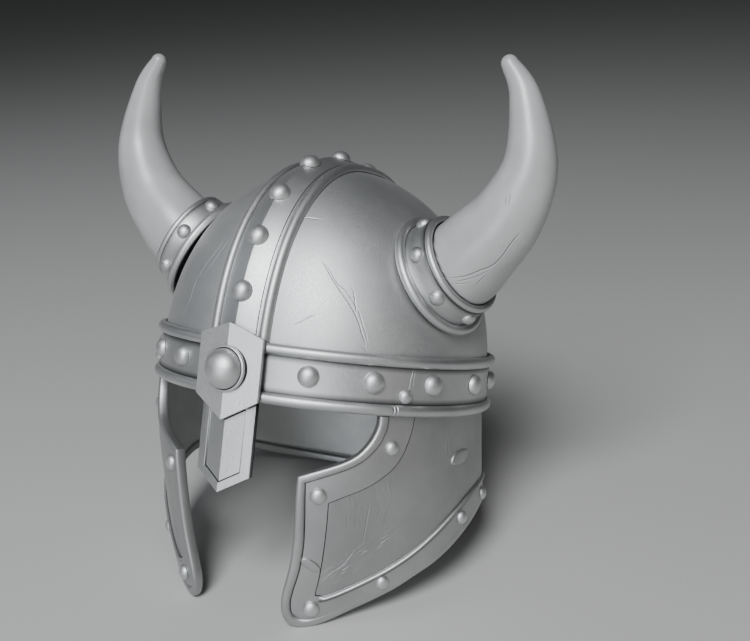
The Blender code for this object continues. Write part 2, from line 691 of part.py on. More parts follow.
def make_collar(name):
    sections = [collar_section(2 * pi * i / COLLAR_STATIONS) for i in range(COLLAR_STATIONS)]
    collar = add_object(name, loft(name, sections, True), iron)
    for i in range(COLLAR_RIVETS):
        turn = 2 * pi * i / COLLAR_RIVETS + radians(COLLAR_RIVET_PHASE)
        base = collar_point(turn, COLLAR_WALL_RADIUS, COLLAR_RIVET_RISE)
        outward = (base - COLLAR_CENTRE - COLLAR_AXIS * COLLAR_RIVET_RISE).normalized()
        rivet = place_rivet(name + "_rivet", rivet_mesh("collar_rivet", COLLAR_RIVET, 8),
                            base - outward * 1.2 * MM, outward, COLLAR_AXIS)
        helmet.objects.unlink(rivet)
        cutters.objects.link(rivet)
        rivet.hide_render = True
        rivet.display_type = "WIRE"
        join = collar.modifiers.new("rivet", "BOOLEAN")
        join.operation = "UNION"
        join.solver = "EXACT"
        join.object = rivet
    return collar


def make_band_rivets():
    mesh = finish_rivet_mesh(rivet_mesh("band_rivet", BAND_RIVET, 8))
    small = finish_rivet_mesh(rivet_mesh("mend_rivet", MEND_RIVET, 8))
    spots = [(mesh, "brow_rivet", a, BAND_RIVET_Z) for a in BAND_RIVET_ANGLES]
    spots.append((small, "mend_rivet", MEND_RIVET_ANGLE, MEND_RIVET_Z))
    for head, name, angle, z in spots:
        for side, word in ((1, "left"), (-1, "right")):
            if angle == 180 and side == -1:
                continue
            label = f"{name}_rear" if angle == 180 else f"{name}_{word}_{round(angle)}"
            point = oval_point(side * angle, BAND_FACE, z)
            around = oval_point(side * angle + 90, 0.0, 0.0)
            outward = Vector((around.y, -around.x, 0))
            place_rivet(label, head, point, outward)


# Arcs are measured in mm along the ridge, from the level of the band's middle at the front
def make_crest_rivets():
    mesh = finish_rivet_mesh(rivet_mesh("crest_rivet", CREST_RIVET, 8, CREST_RIVET_FOLD))
    wanted = [arc * MM for arc in CREST_RIVET_ARCS]
    arc, t = 0.0, crest_angle_at(0.5 * MM)
    previous = crest_ridge(t)[0]
    number = 1
    while number <= len(wanted):
        t += CREST_WALK_STEP
        point, outward = crest_ridge(t)
        arc += (point - previous).length
        previous = point
        if arc >= wanted[number - 1]:
            ahead = Vector((0, 1, 0)) if abs(outward.y) < 0.9 else Vector((0, 0, 1))
            place_rivet(f"crest_rivet_{number}", mesh, point, outward, ahead)
            number += 1


def make_guard_rivets():
    meshes = {head: finish_rivet_mesh(rivet_mesh("guard_rivet", head, 8))
              for head in (GUARD_RIVET, GUARD_SMALL_RIVET)}
    for name, angle, z, head in GUARD_RIVET_SPOTS:
        point = guard_point(angle, z * MM, GUARD_RIVET_SEAT)
        outward = guard_normal(angle, z * MM)
        for side, word in ((1, "left"), (-1, "right")):
            flip = Vector((side, 1, 1))
            place_rivet(f"{name}_rivet_{word}", meshes[head], point * flip, outward * flip)
    point = guard_point(180, REAR_RIVET_Z, GUARD_RIVET_SEAT)
    place_rivet("lower_rivet_rear", meshes[GUARD_SMALL_RIVET], point, guard_normal(180, REAR_RIVET_Z))


def all_points():
    bpy.context.view_layer.update()
    graph = bpy.context.evaluated_depsgraph_get()
    points = []
    for obj in helmet.objects:
        if obj.type == "EMPTY":
            continue
        shape = obj.evaluated_get(graph)
        mesh = shape.to_mesh()
        coords = np.empty(len(mesh.vertices) * 3)
        mesh.vertices.foreach_get("co", coords)
        matrix = np.array(obj.matrix_world)
        points.append(coords.reshape(-1, 3) @ matrix[:3, :3].T + matrix[:3, 3])
        shape.to_mesh_clear()
    return np.vstack(points)


# Pitch the helmet back until the cheek tips and the rear of the guard share one floor
def stand_up():
    points = all_points()
    front_group = points[:, 1] < -CONTACT_SPLIT
    rear_group = points[:, 1] > CONTACT_SPLIT
    pitch = 0.0
    for _ in range(20):
        y = points[:, 1] * cos(pitch) + points[:, 2] * sin(pitch)
        z = -points[:, 1] * sin(pitch) + points[:, 2] * cos(pitch)
        front = np.argmin(np.where(front_group, z, 1.0))
        rear = np.argmin(np.where(rear_group, z, 1.0))
        pitch += atan2(z[rear] - z[front], y[rear] - y[front])
    stand = bpy.data.objects.new("standing_pose", None)
    helmet.objects.link(stand)
    for obj in [*helmet.objects, *cutters.objects]:
        if obj is not stand:
            obj.parent = stand
    stand.rotation_euler = (-pitch, 0, 0)
    stand.location = (0, -(y.min() + y.max()) / 2, -z.min())
    return pitch


clear_scene()
helmet = make_collection("horned_iron_helmet")
cutters = make_collection("cutters")
iron = make_material("forged_iron", (0.48, 0.48, 0.47), 0.42, 1.0)
rivet_iron = make_material("rivet_iron", (0.55, 0.55, 0.54), 0.36, 1.0)
horn_material = make_material("grey_horn", (0.42, 0.42, 0.41), 0.45, 0.0)
make_bowl()
make_brow_band()
make_crest()
make_plate()
make_boss()
make_nasal()
make_neck_guard()
make_guard_trim()
make_horn("horn_left", 1)
make_horn("horn_right", -1)
left_collar = make_collar("horn_collar_left")
apply_modifiers(left_collar)
mirrored(left_collar, "horn_collar_right")
make_band_rivets()
make_crest_rivets()
make_guard_rivets()
stand_up()
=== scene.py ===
# Horned iron helmet: forged and riveted iron sheet, with a grey horn held in a collar on each side.
# Every piece is shaped in millimetres with the helmet level, its front towards -Y and the middle of
# the brow band at height 0, and is then pitched back onto its cheek tips, as the solids stand.
from math import asin, cos, pi, radians, sin, sqrt

import bmesh
import bpy
import numpy as np
from mathutils import Matrix, Vector


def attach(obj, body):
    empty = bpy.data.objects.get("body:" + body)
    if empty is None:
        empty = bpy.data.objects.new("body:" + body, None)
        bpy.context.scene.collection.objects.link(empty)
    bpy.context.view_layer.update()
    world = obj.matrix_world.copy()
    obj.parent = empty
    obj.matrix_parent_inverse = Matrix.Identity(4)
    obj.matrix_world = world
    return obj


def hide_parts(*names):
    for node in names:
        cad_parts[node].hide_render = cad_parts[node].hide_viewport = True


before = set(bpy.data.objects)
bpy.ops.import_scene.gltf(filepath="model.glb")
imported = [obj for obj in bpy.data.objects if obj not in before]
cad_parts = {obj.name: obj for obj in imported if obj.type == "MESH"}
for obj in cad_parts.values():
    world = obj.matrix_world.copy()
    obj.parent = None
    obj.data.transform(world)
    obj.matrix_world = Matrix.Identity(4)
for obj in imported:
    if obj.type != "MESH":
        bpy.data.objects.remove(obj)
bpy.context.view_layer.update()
print("frame loaded")

standing = {
    "pitchDegrees": 19.5484,
    "shiftMetres": (0.0, 0.0044296, 0.1307879),
}
restPose = (Matrix.Translation(standing["shiftMetres"])
            @ Matrix.Rotation(-radians(standing["pitchDegrees"]), 4, "X")
            @ Matrix.Scale(0.001, 4))


def linearColour(hexCode):
    # an sRGB hex code as the linear colour that a shader takes
    values = [int(hexCode[i:i + 2], 16) / 255 for i in (1, 3, 5)]
    return tuple(v / 12.92 if v <= 0.04045 else ((v + 0.055) / 1.055) ** 2.4 for v in values) + (1.0,)


def addNode(tree, kind, inputs=None, **settings):
    # a node among the inputs stands for its first output
    node = tree.nodes.new("ShaderNode" + kind)
    for key, value in settings.items():
        setattr(node, key, value)
    for key, value in (inputs or {}).items():
        if isinstance(value, bpy.types.Node):
            value = value.outputs[0]
        if isinstance(value, bpy.types.NodeSocket):
            tree.links.new(value, node.inputs[key])
        else:
            node.inputs[key].default_value = value
    return node


def smoothStep(value, low, high):
    t = min(max((value - low) / (high - low), 0.0), 1.0)
    return t * t * (3 - 2 * t)


def smoothRows(rows, perSpan, sharp=None):
    # a soft line through a table's rows, which keeps the rows and has a corner at the sharp one
    table = np.array(rows, dtype=float)
    last = len(table) - 1
    result = []
    for i in range(last):
        before = table[i - 1] if i > 0 and i != sharp else table[i]
        after = table[i + 2] if i + 2 <= last and i + 1 != sharp else table[i + 1]
        start, end = table[i], table[i + 1]
        for step in range(perSpan):
            t = step / perSpan
            result.append(0.5 * (2 * start + (end - before) * t
                                 + (2 * before - 5 * start + 4 * end - after) * t ** 2
                                 + (3 * start - before - 3 * end + after) * t ** 3))
    result.append(table[last])
    return result


def paintedShadeLayer(bm):
    # how much painted shade lies at each point, 0 to 1, which the finishes read: dark lines in creases,
    # joints and under overhangs, standing also for dark oxide; below 0 the metal is worn bright and painted
    # light
    return bm.verts.layers.float.get("paintedShadeAndWear") or bm.verts.layers.float.new("paintedShadeAndWear")


def warpedGrid(bm, columns, rows, place, paintedShadeAndWear=None):
    # a flat grid whose every corner is moved to place(column, row)
    layer = paintedShadeLayer(bm)
    grid = bmesh.ops.create_grid(bm, x_segments=columns, y_segments=rows, size=0.5)
    for vert in grid["verts"]:
        column = round((vert.co.x + 0.5) * columns)
        row = round((vert.co.y + 0.5) * rows)
        vert.co = place(column, row)
        if paintedShadeAndWear:
            vert[layer] = paintedShadeAndWear(column, row)


def closeHoles(bm):
    openEdges = [edge for edge in bm.edges if edge.is_boundary]
    return bmesh.ops.holes_fill(bm, edges=openEdges, sides=0)["faces"]


def loftRings(bm, sections, closedPath, paintedShadeAndWear=None):
    # a skin through closed rings that have the same number of points; the painted shade has one list per
    # ring
    count = len(sections[0])
    stations = sections + [sections[0]] if closedPath else sections
    shades = (paintedShadeAndWear + [paintedShadeAndWear[0]] if closedPath else paintedShadeAndWear) if paintedShadeAndWear else None
    warpedGrid(bm, count, len(stations) - 1, lambda i, j: stations[j][i % count],
               (lambda i, j: shades[j][i % count]) if paintedShadeAndWear else None)
    bmesh.ops.remove_doubles(bm, verts=bm.verts, dist=0.001)
    if not closedPath:
        closeHoles(bm)


def spinProfile(bm, profile, steps, merge):
    # a turned shape from points given as (radius, height)
    line = [bm.verts.new((radius, 0, height)) for radius, height in profile]
    edges = [bm.edges.new(pair) for pair in zip(line, line[1:])]
    bmesh.ops.spin(bm, geom=line + edges, cent=(0, 0, 0), axis=(0, 0, 1), angle=2 * pi, steps=steps,
                   use_merge=True)
    bmesh.ops.remove_doubles(bm, verts=bm.verts, dist=merge)


def highestBelow(low, high, isBelow):
    # halves the span until it closes on the last value that is still below
    for _ in range(40):
        middle = (low + high) / 2
        if isBelow(middle):
            low = middle
        else:
            high = middle
    return low


def beadArc(centre, radius, start, end, steps):
    angles = [radians(start + (end - start) * i / (steps - 1)) for i in range(steps)]
    return [(centre[0] + radius * cos(a), centre[1] + radius * sin(a)) for a in angles]


markReach = 25.0  # mm from a scratch, past which it isn't followed


def addMark(bm, name, path):
    # for each point of the mesh: its distance to one side of a scratch, and how far along it lies
    bm.normal_update()
    line = np.array([tuple(p) for p in smoothRows(path, 6)])
    start, step = line[:-1], np.diff(line, axis=0)
    length = np.linalg.norm(step, axis=1)
    reached = np.concatenate(([0.0], np.cumsum(length)))
    layer = bm.verts.layers.float_vector.new(name)
    for vert in bm.verts:
        offset = np.array(vert.co) - start
        share = np.clip((offset * step).sum(axis=1) / length ** 2, 0.0, 1.0)
        away = offset - step * share[:, None]
        distance = np.linalg.norm(away, axis=1)
        i = int(distance.argmin())
        side = np.dot(np.cross(step[i], np.array(vert.normal)), away[i])
        along = (reached[i] + share[i] * length[i]) / reached[-1]
        if distance[i] > markReach:
            along = 0.0
        vert[layer] = (float(np.copysign(min(distance[i], markReach), side)), float(along), 0.0)


def finishPiece(name, bm, materials, nodes, sharpDegrees=32, wall=0.0, outward=None, marks=(),
                keepFlat=False):
    # merge, turn the faces outwards, mark the scratches, pitch the piece back and hand it over
    bmesh.ops.remove_doubles(bm, verts=bm.verts, dist=0.001)
    bmesh.ops.recalc_face_normals(bm, faces=bm.faces)
    if outward:
        bm.normal_update()
        bm.faces.ensure_lookup_table()
        turned = sum(outward(face.calc_center_median()).dot(face.normal) * face.calc_area()
                     for face in bm.faces)
        if turned < 0:
            bmesh.ops.reverse_faces(bm, faces=bm.faces)
    for mark in marks:
        addMark(bm, mark[0], mark[-1])
    bmesh.ops.transform(bm, matrix=restPose, verts=bm.verts)
    mesh = bpy.data.meshes.new(name)
    bm.to_mesh(mesh)
    bm.free()
    mesh.shade_smooth()
    mesh.set_sharp_from_angle(angle=radians(sharpDegrees))
    for material in materials:
        mesh.materials.append(material)
    piece = bpy.data.objects.new(name, mesh)
    bpy.context.scene.collection.objects.link(piece)
    if wall:
        shell = piece.modifiers.new("sheetThickness", "SOLIDIFY")
        shell.thickness = wall * 0.001
        shell.offset = -1
        shell.use_even_offset = True
        shell.material_offset = len(materials) - 1
    if keepFlat:
        # large faces keep their own direction, and only the rounded edges are shaded round
        flat = piece.modifiers.new("flatFaces", "WEIGHTED_NORMAL")
        flat.keep_sharp = True
        flat.weight = 100
    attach(piece, "root")
    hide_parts(*nodes)


def mirrored(point, side=-1):
    return Vector((side * point.x, point.y, point.z))


def nodesNamed(start):
    return [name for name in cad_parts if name.startswith(start)]


# Finishes, with lengths and the heights of their relief in mm

satinIron = {
    "light": "#cfd0cf",
    "dark": "#bfc1c1",
    "shadeAndOxide": "#2c2d2e",         # painted shade: the dark colour of creases and joints, standing also for black scale left there, which draws every joint as a line
    "wornAndHighlight": "#f0f1f1",          # edges rubbed bright by handling, and painted light as a highlight on the rounded edges
    "roughness": 0.50,
    "roughnessSpread": 0.05,
    "cloud": 55.0,              # slow clouding left by the scale that was brushed off
    "grain": 1.1,               # drawn coarser than real filing marks so that it shows
    "grainHeight": 0.035,
    "strokesPerMetre": 1400.0,  # the finest polishing strokes
    "strokeLength": 26.0,
    "strokeTurn": (20, 35, 12),
    "strokeHeight": 0.03,
    "facet": 17.0,              # planishing facets
    "pit": 2.6,                 # small rust pits that were cleaned out
}
scrapedHorn = {
    "light": "#aeb0af",
    "dark": "#9c9e9d",
    "roughness": 0.40,
    "roughnessSpread": 0.04,
    "cloud": 30.0,
    "fibresPerMetre": (900.0, 900.0, 40.0),
    "fibreHeight": 0.05,
    "ior": 1.56,
    "oil": 0.6,                 # rubbed in, as a thin coat
    "oilRoughness": 0.32,
}


def markDepth(tree, marks):
    # depth in mm of all scratches together
    total = 0.0
    for name, halfWidth, depth, ends, _ in marks:
        place = addNode(tree, "Attribute", attribute_name=name)
        parts = addNode(tree, "SeparateXYZ", {0: place.outputs["Vector"]})
        across = addNode(tree, "Math", {0: parts, 1: 1 / halfWidth}, operation="MULTIPLY")
        square = addNode(tree, "Math", {0: across, 1: across}, operation="MULTIPLY")
        middle = addNode(tree, "Math", {0: parts.outputs[1], 1: 2.0, 2: -1.0}, operation="MULTIPLY_ADD")
        fromMiddle = addNode(tree, "Math", {0: middle}, operation="ABSOLUTE")
        taper = addNode(tree, "Math", {0: fromMiddle, 1: ends}, operation="POWER")
        both = addNode(tree, "Math", {0: square, 1: taper}, operation="ADD")
        hollow = addNode(tree, "Math", {0: 1.0, 1: both}, operation="SUBTRACT", use_clamp=True)
        total = addNode(tree, "Math", {0: hollow, 1: depth, 2: total}, operation="MULTIPLY_ADD")
    return total


def scuffDepth(tree, scuffs):
    # depth in mm of patches of fine parallel scratches
    total = 0.0
    for name, halfWidth, depth, spacing, strokes, path in scuffs:
        place = addNode(tree, "Attribute", attribute_name=name)
        drawn = addNode(tree, "Mapping", {"Vector": place.outputs["Vector"],
                                          "Scale": (1 / spacing, strokes, 1.0)})
        lines = addNode(tree, "TexNoise", {"Vector": drawn, "Scale": 1.0, "Detail": 2.0, "Roughness": 0.6})
        cut = addNode(tree, "MapRange", {"Value": lines, "From Min": 0.50, "From Max": 0.72},
                      interpolation_type="SMOOTHSTEP")
        patch = markDepth(tree, [(name, halfWidth, depth, 2.0, path)])
        total = addNode(tree, "Math", {0: cut, 1: patch, 2: total}, operation="MULTIPLY_ADD")
    return total


def startFinish(name):
    material = bpy.data.materials.new(name)
    material.use_nodes = True
    tree = material.node_tree
    where = addNode(tree, "TexCoord").outputs["Object"]
    return material, tree, tree.nodes["Principled BSDF"], where


def colourFinish(tree, shader, slow, edge, light, dark):
    # clouded from dark to light, then darkened with painted shade, or brightened as wear and painted
    # highlight, where the shade layer says so
    toned = addNode(tree, "MapRange", {"Value": slow, "From Min": 0.5 - edge, "From Max": 0.5 + edge})
    unshaded = addNode(tree, "Mix", {0: toned, 6: linearColour(dark), 7: linearColour(light)},
                    data_type="RGBA")
    paintedShadeAndWear = addNode(tree, "Attribute", attribute_name="paintedShadeAndWear").outputs["Fac"]
    brightened = addNode(tree, "Math", {0: paintedShadeAndWear, 1: -1.0}, operation="MULTIPLY", use_clamp=True)
    bright = addNode(tree, "Mix", {0: brightened, 6: unshaded.outputs[2], 7: linearColour(satinIron["wornAndHighlight"])},
                     data_type="RGBA")
    mixed = addNode(tree, "Mix", {0: paintedShadeAndWear, 6: bright.outputs[2], 7: linearColour(satinIron["shadeAndOxide"])},
                    data_type="RGBA")
    tree.links.new(mixed.outputs[2], shader.inputs["Base Color"])


def roughenFinish(tree, shader, fine, roughness, spread):
    sheen = addNode(tree, "MapRange", {"Value": fine, "From Min": 0.3, "From Max": 0.7,
                                       "To Min": roughness - spread, "To Max": roughness + spread})
    tree.links.new(sheen.outputs[0], shader.inputs["Roughness"])


def cutFinish(tree, shader, relief, marks, scuffs=()):
    # takes the scratches off the relief in mm and gives the rest to the one bump
    for depth in (markDepth(tree, marks), scuffDepth(tree, scuffs)):
        relief = addNode(tree, "Math", {0: relief, 1: depth}, operation="SUBTRACT")
    bump = addNode(tree, "Bump", {"Height": relief, "Strength": 1.0, "Distance": 0.001})
    tree.links.new(bump.outputs[0], shader.inputs["Normal"])


def forgedIron(name, marks=(), scuffs=(), light=satinIron["light"], dark=satinIron["dark"],
               roughness=satinIron["roughness"], hammer=0.05, pits=0.0):
    # Mild iron sheet, forged, planished and wire-brushed: a soft grey sheen without mirror
    # reflections, faint facets from the hammer and hair-fine strokes from the brush.
    finish = satinIron
    material, tree, shader, where = startFinish(name)
    shader.inputs["Metallic"].default_value = 1.0
    inMillimetres = addNode(tree, "Mapping", {"Vector": where, "Scale": (1000.0, 1000.0, 1000.0)})
    strokes = (finish["strokesPerMetre"], finish["strokesPerMetre"], 1000.0 / finish["strokeLength"])
    alongStrokes = addNode(tree, "Mapping", {"Vector": where, "Scale": strokes,
                                             "Rotation": [radians(a) for a in finish["strokeTurn"]]})
    clouds = addNode(tree, "TexNoise", {"Vector": inMillimetres, "Scale": 1 / finish["cloud"],
                                        "Detail": 4.0, "Roughness": 0.6})
    grain = addNode(tree, "TexNoise", {"Vector": inMillimetres, "Scale": 1 / finish["grain"],
                                       "Detail": 3.0, "Roughness": 0.65})
    brush = addNode(tree, "TexNoise", {"Vector": alongStrokes, "Scale": 1.0, "Detail": 2.0,
                                       "Roughness": 0.5})
    facets = addNode(tree, "TexVoronoi", {"Vector": inMillimetres, "Scale": 1 / finish["facet"],
                                          "Smoothness": 0.8}, feature="SMOOTH_F1")
    colourFinish(tree, shader, clouds, 0.15, light, dark)
    roughenFinish(tree, shader, brush, roughness, finish["roughnessSpread"])
    layers = [(grain, finish["grainHeight"]), (brush, finish["strokeHeight"]), (facets, hammer)]
    if pits:
        spots = addNode(tree, "TexNoise", {"Vector": inMillimetres, "Scale": 1 / finish["pit"],
                                           "Detail": 2.0})
        pitted = addNode(tree, "MapRange", {"Value": spots, "From Min": 0.30, "From Max": 0.40},
                         interpolation_type="SMOOTHSTEP")
        layers.append((pitted, pits))
    relief = 0.0
    for pattern, height in layers:
        relief = addNode(tree, "Math", {0: pattern, 1: height, 2: relief}, operation="MULTIPLY_ADD")
    cutFinish(tree, shader, relief, marks, scuffs)
    return material


def greyHorn(name, marks=()):
    # Ox horn, scraped and oiled: a dense grey keratin with a soft sheen, slow clouds and fine
    # lengthwise fibres.
    finish = scrapedHorn
    material, tree, shader, where = startFinish(name)
    shader.inputs["IOR"].default_value = finish["ior"]
    shader.inputs["Coat Weight"].default_value = finish["oil"]
    shader.inputs["Coat Roughness"].default_value = finish["oilRoughness"]
    clouds = addNode(tree, "TexNoise", {"Vector": where, "Scale": 1000.0 / finish["cloud"], "Detail": 5.0})
    alongFibres = addNode(tree, "Mapping", {"Vector": where, "Scale": finish["fibresPerMetre"]})
    fibres = addNode(tree, "TexNoise", {"Vector": alongFibres, "Scale": 1.0, "Detail": 3.0})
    colourFinish(tree, shader, clouds, 0.2, finish["light"], finish["dark"])
    roughenFinish(tree, shader, fibres, finish["roughness"], finish["roughnessSpread"])
    relief = addNode(tree, "Math", {0: fibres, 1: finish["fibreHeight"]}, operation="MULTIPLY")
    cutFinish(tree, shader, relief, marks)
    return material


plainIron = forgedIron("brushedForgedIron")
rivetIron = forgedIron("brushedRivetIron", light="#d6d7d6", dark="#c8caca", roughness=0.52, hammer=0.02)
# the trim's iron is painted darker than the bowl's, as shade
shadedTrimIron = forgedIron("brushedTrimIronShadedDarker", light="#bcbdbc", dark="#adafaf")
# the inside's iron is painted lighter than the outside's, as light on the shaded inside
lightenedInnerIron = forgedIron("dullInnerIronLightened", light="#dcdddc", dark="#cfd1d0", roughness=0.62, hammer=0.08)

# Bowl

bowl = {
    "halfWidth": 115.0, "halfLength": 110.0, "height": 136.0, "rimZ": -4.0, "sheet": 2.0,
    "roughness": 0.57,
    "frontFullness": 2.3, "sidePlanFullness": 1.85, "sideRiseFullness": 2.1,
    "around": 144, "upwards": 34, "sweepDegrees": 88.5, "fitRounds": 6,
    # name, half width, depth, how blunt the ends are, path
    "marks": [
        ("longScratch", 0.8, 0.26, 6.0, [(41.0, -89.3, 70.8), (51.6, -88.6, 56.5), (62.8, -85.9, 44.4),
         (69.5, -84.2, 32.9), (73.6, -82.0, 20.2)]),
        ("longScratchBeside", 0.6, 0.17, 4.0, [(43.8, -88.8, 69.3), (53.6, -87.3, 56.8),
         (64.8, -84.5, 44.6), (70.9, -83.0, 33.1), (74.9, -80.9, 21.3)]),
        ("branchScratch", 0.7, 0.2, 4.0, [(60.8, -83.4, 55.2), (63.7, -84.0, 48.2), (66.6, -84.0, 40.0)]),
        ("lowScratch", 0.6, 0.2, 4.0, [(33.8, -103.1, 28.6), (40.1, -100.4, 33.0), (46.2, -97.2, 37.4)]),
        ("highScratch", 0.6, 0.22, 4.0, [(21.7, -81.5, 95.3), (26.3, -80.4, 95.1), (30.5, -78.8, 94.9)]),
        ("farScratch", 0.8, 0.26, 4.0, [(-30.8, -89.0, 78.4), (-37.4, -92.9, 64.6), (-47.1, -93.5, 49.0),
         (-49.8, -96.3, 35.9), (-54.6, -94.8, 22.5)]),
        ("farScratchBeside", 0.6, 0.18, 3.0, [(-26.7, -91.2, 76.7), (-32.6, -95.0, 64.3),
         (-42.2, -95.6, 48.4)]),
    ],
}


def bowlLevel(point):
    # 1 on the bowl's outer face, less inside it; the bowl is fuller fore and aft
    across = (point[0] / bowl["halfWidth"]) ** 2
    along = (point[1] / bowl["halfLength"]) ** 2
    share = across / max(across + along, 1e-12)
    plan = bowl["frontFullness"] + (bowl["sidePlanFullness"] - bowl["frontFullness"]) * share
    rise = bowl["frontFullness"] + (bowl["sideRiseFullness"] - bowl["frontFullness"]) * share
    return (sqrt(across + along) ** plan + abs(point[2] / bowl["height"]) ** rise) ** (2 / (plan + rise))


def bowlCurve(t):
    power = 2 / bowl["frontFullness"]
    return max(cos(t), 0.0) ** power, bowl["height"] * max(sin(t), 0.0) ** power


def makeBowl():
    angles = [radians(90 - bowl["sweepDegrees"] * i / bowl["upwards"]) for i in range(bowl["upwards"])]
    profile = [(bowl["halfWidth"] * cos(a), bowl["height"] * sin(a)) for a in angles]
    profile += [(bowl["halfWidth"], 0.0), (bowl["halfWidth"], bowl["rimZ"])]
    bm = bmesh.new()
    spinProfile(bm, profile, bowl["around"], 0.01)
    bmesh.ops.scale(bm, vec=(1, bowl["halfLength"] / bowl["halfWidth"], 1), verts=bm.verts)
    for vert in bm.verts:
        for _ in range(bowl["fitRounds"] if vert.co.z > 0 else 0):
            vert.co /= bowlLevel(vert.co)
    bowlIron = forgedIron("brushedBowlIron", bowl["marks"], roughness=bowl["roughness"])
    finishPiece("bowlSheet", bm, [bowlIron, lightenedInnerIron], ["bowl"],
                wall=bowl["sheet"], outward=lambda p: p, marks=bowl["marks"])


makeBowl()
print("bowl made")

# Brow band

browBand = {
    "face": 1.6, "topBeadZ": 13.5, "lowBeadZ": -16.7, "beadRadius": 3.6, "seat": 0.3,
    "beadDegrees": (-88, 112), "beadPoints": 14, "faceHeight": 23.0, "faceSteps": 6,
    "around": 192, "creaseShade": 0.9,
    "rivet": (6.8, 5.0), "rivetZ": -0.4, "rivetAngles": (24, 44, 65, 87, 109, 133, 156, 180),
    "mendRivet": (4.6, 3.6), "mendAngle": 55.0, "mendZ": -7.8,
    "marks": [
        ("mendCrack", 0.4, 0.22, 6.0, [(96.9, -61.2, 9.8), (96.6, -61.8, 4.0), (96.4, -62.0, -3.0)]),
        ("mendCrackBeside", 0.35, 0.12, 6.0, [(97.9, -59.6, 9.8), (97.7, -59.9, 3.0),
         (97.5, -60.2, -2.0)]),
        ("beadNotch", 0.8, 0.5, 6.0, [(92.0, -72.4, -13.4), (93.4, -73.2, -16.7), (91.5, -71.6, -20.2)]),
        ("beadNotchBeside", 0.8, 0.5, 6.0, [(93.7, -70.7, -13.4), (95.2, -71.3, -16.7),
         (93.0, -69.5, -20.2)]),
    ],
}


def ovalPoint(angle, offset, z):
    return Vector(((bowl["halfWidth"] + offset) * sin(radians(angle)),
                   -(bowl["halfLength"] + offset) * cos(radians(angle)), z))


def makeBrowBand():
    b = browBand
    start, end = b["beadDegrees"]
    top = beadArc((b["face"], b["topBeadZ"]), b["beadRadius"], start, end, b["beadPoints"])
    low = beadArc((b["face"], b["lowBeadZ"]), b["beadRadius"], -end, -start, b["beadPoints"])
    inner = [(b["seat"], b["topBeadZ"] + 2.0), (b["seat"], b["lowBeadZ"])]
    faceRows = [(b["face"], b["lowBeadZ"] + b["beadRadius"] + b["faceHeight"] * i / b["faceSteps"])
                for i in range(1, b["faceSteps"])]
    section = low + faceRows + top + inner
    # painted shade at the beads' ends, in the creases where they meet the face and the bowl
    shade = [0.0] * len(section)
    for i in (0, len(low) - 1, len(low) + len(faceRows), len(low) + len(faceRows) + len(top) - 1):
        shade[i] = b["creaseShade"]
    sections = [[ovalPoint(360 * i / b["around"], offset, z) for offset, z in section]
                for i in range(b["around"])]
    bm = bmesh.new()
    loftRings(bm, sections, True, [shade] * len(sections))
    finishPiece("browBandSheet", bm, [forgedIron("brushedBandIron", b["marks"])],
                ["brow_band"], sharpDegrees=40, marks=b["marks"])


makeBrowBand()
print("brow band made")


# Rivets

rivetHead = {
    "around": 28, "rings": 16,
    "lift": 0.12,        # mm that a head stands off, so that its neck, painted dark as shade, shows as a line under the rim
    "rimShare": 0.97,    # how far the neck is set in under the rim
    "neckShare": 0.98,   # and how much it narrows on its way into the sheet
}


def addRivet(bm, head, point, outward, ahead=Vector((0, 0, 1)), sink=1.2, fold=0.0):
    # a domed head: half of a ball, pressed flat, on a short dark neck that sinks into the sheet;
    # with a fold its rim follows a ridge that runs ahead
    radius, height = head
    paintedShadeAndWear = paintedShadeLayer(bm)
    ball = bmesh.ops.create_uvsphere(bm, u_segments=rivetHead["around"], v_segments=rivetHead["rings"],
                                     radius=1.0)["verts"]
    bmesh.ops.delete(bm, geom=[v for v in ball if v.co.z < -0.01], context="VERTS")
    dome = [v for v in ball if v.is_valid]
    inDome = set(dome)
    rim = [edge for edge in bm.edges if edge.is_boundary and edge.verts[0] in inDome]
    bmesh.ops.scale(bm, vec=(radius, radius, height), verts=dome)
    neck = []
    for share, drop in ((rivetHead["rimShare"], 0.0), (rivetHead["neckShare"], sink)):
        grown = bmesh.ops.extrude_edge_only(bm, edges=rim)["geom"]
        ring = [g for g in grown if isinstance(g, bmesh.types.BMVert)]
        rim = [g for g in grown if isinstance(g, bmesh.types.BMEdge) and g.is_boundary]
        bmesh.ops.scale(bm, vec=(share, share, 1.0), verts=ring)
        bmesh.ops.translate(bm, vec=(0, 0, -drop), verts=ring)
        # the neck is painted fully dark, as the shade under the head
        for vert in ring:
            vert[paintedShadeAndWear] = 1.0
        neck += ring
    for vert in dome + neck:
        vert.co.z -= fold * abs(vert.co.x) * (1 - max(vert.co.z, 0.0) / height)
    zAxis = outward.normalized()
    xAxis = ahead.cross(zAxis).normalized()
    turn = Matrix((xAxis, zAxis.cross(xAxis), zAxis)).transposed().to_4x4()
    lifted = point + zAxis * rivetHead["lift"]
    bmesh.ops.transform(bm, matrix=Matrix.Translation(lifted) @ turn, verts=dome + neck)


def finishRivets(name, bm, nodes):
    closeHoles(bm)
    finishPiece(name, bm, [rivetIron], nodes, sharpDegrees=50)


def makeBandRivets():
    b = browBand
    rows = [("browRivetHeads", b["rivet"], b["rivetAngles"], b["rivetZ"], "brow_rivet"),
            ("mendRivetHeads", b["mendRivet"], (b["mendAngle"],), b["mendZ"], "mend_rivet")]
    for name, head, angles, z, nodeStart in rows:
        bm = bmesh.new()
        for angle in angles:
            for side in ((1, -1) if angle < 180 else (1,)):
                around = ovalPoint(side * angle + 90, 0.0, 0.0)
                outward = Vector((around.y, -around.x, 0))
                addRivet(bm, head, ovalPoint(side * angle, b["face"], z), outward)
        finishRivets(name, bm, nodesNamed(nodeStart))


makeBandRivets()
print("band rivets made")

# Crest

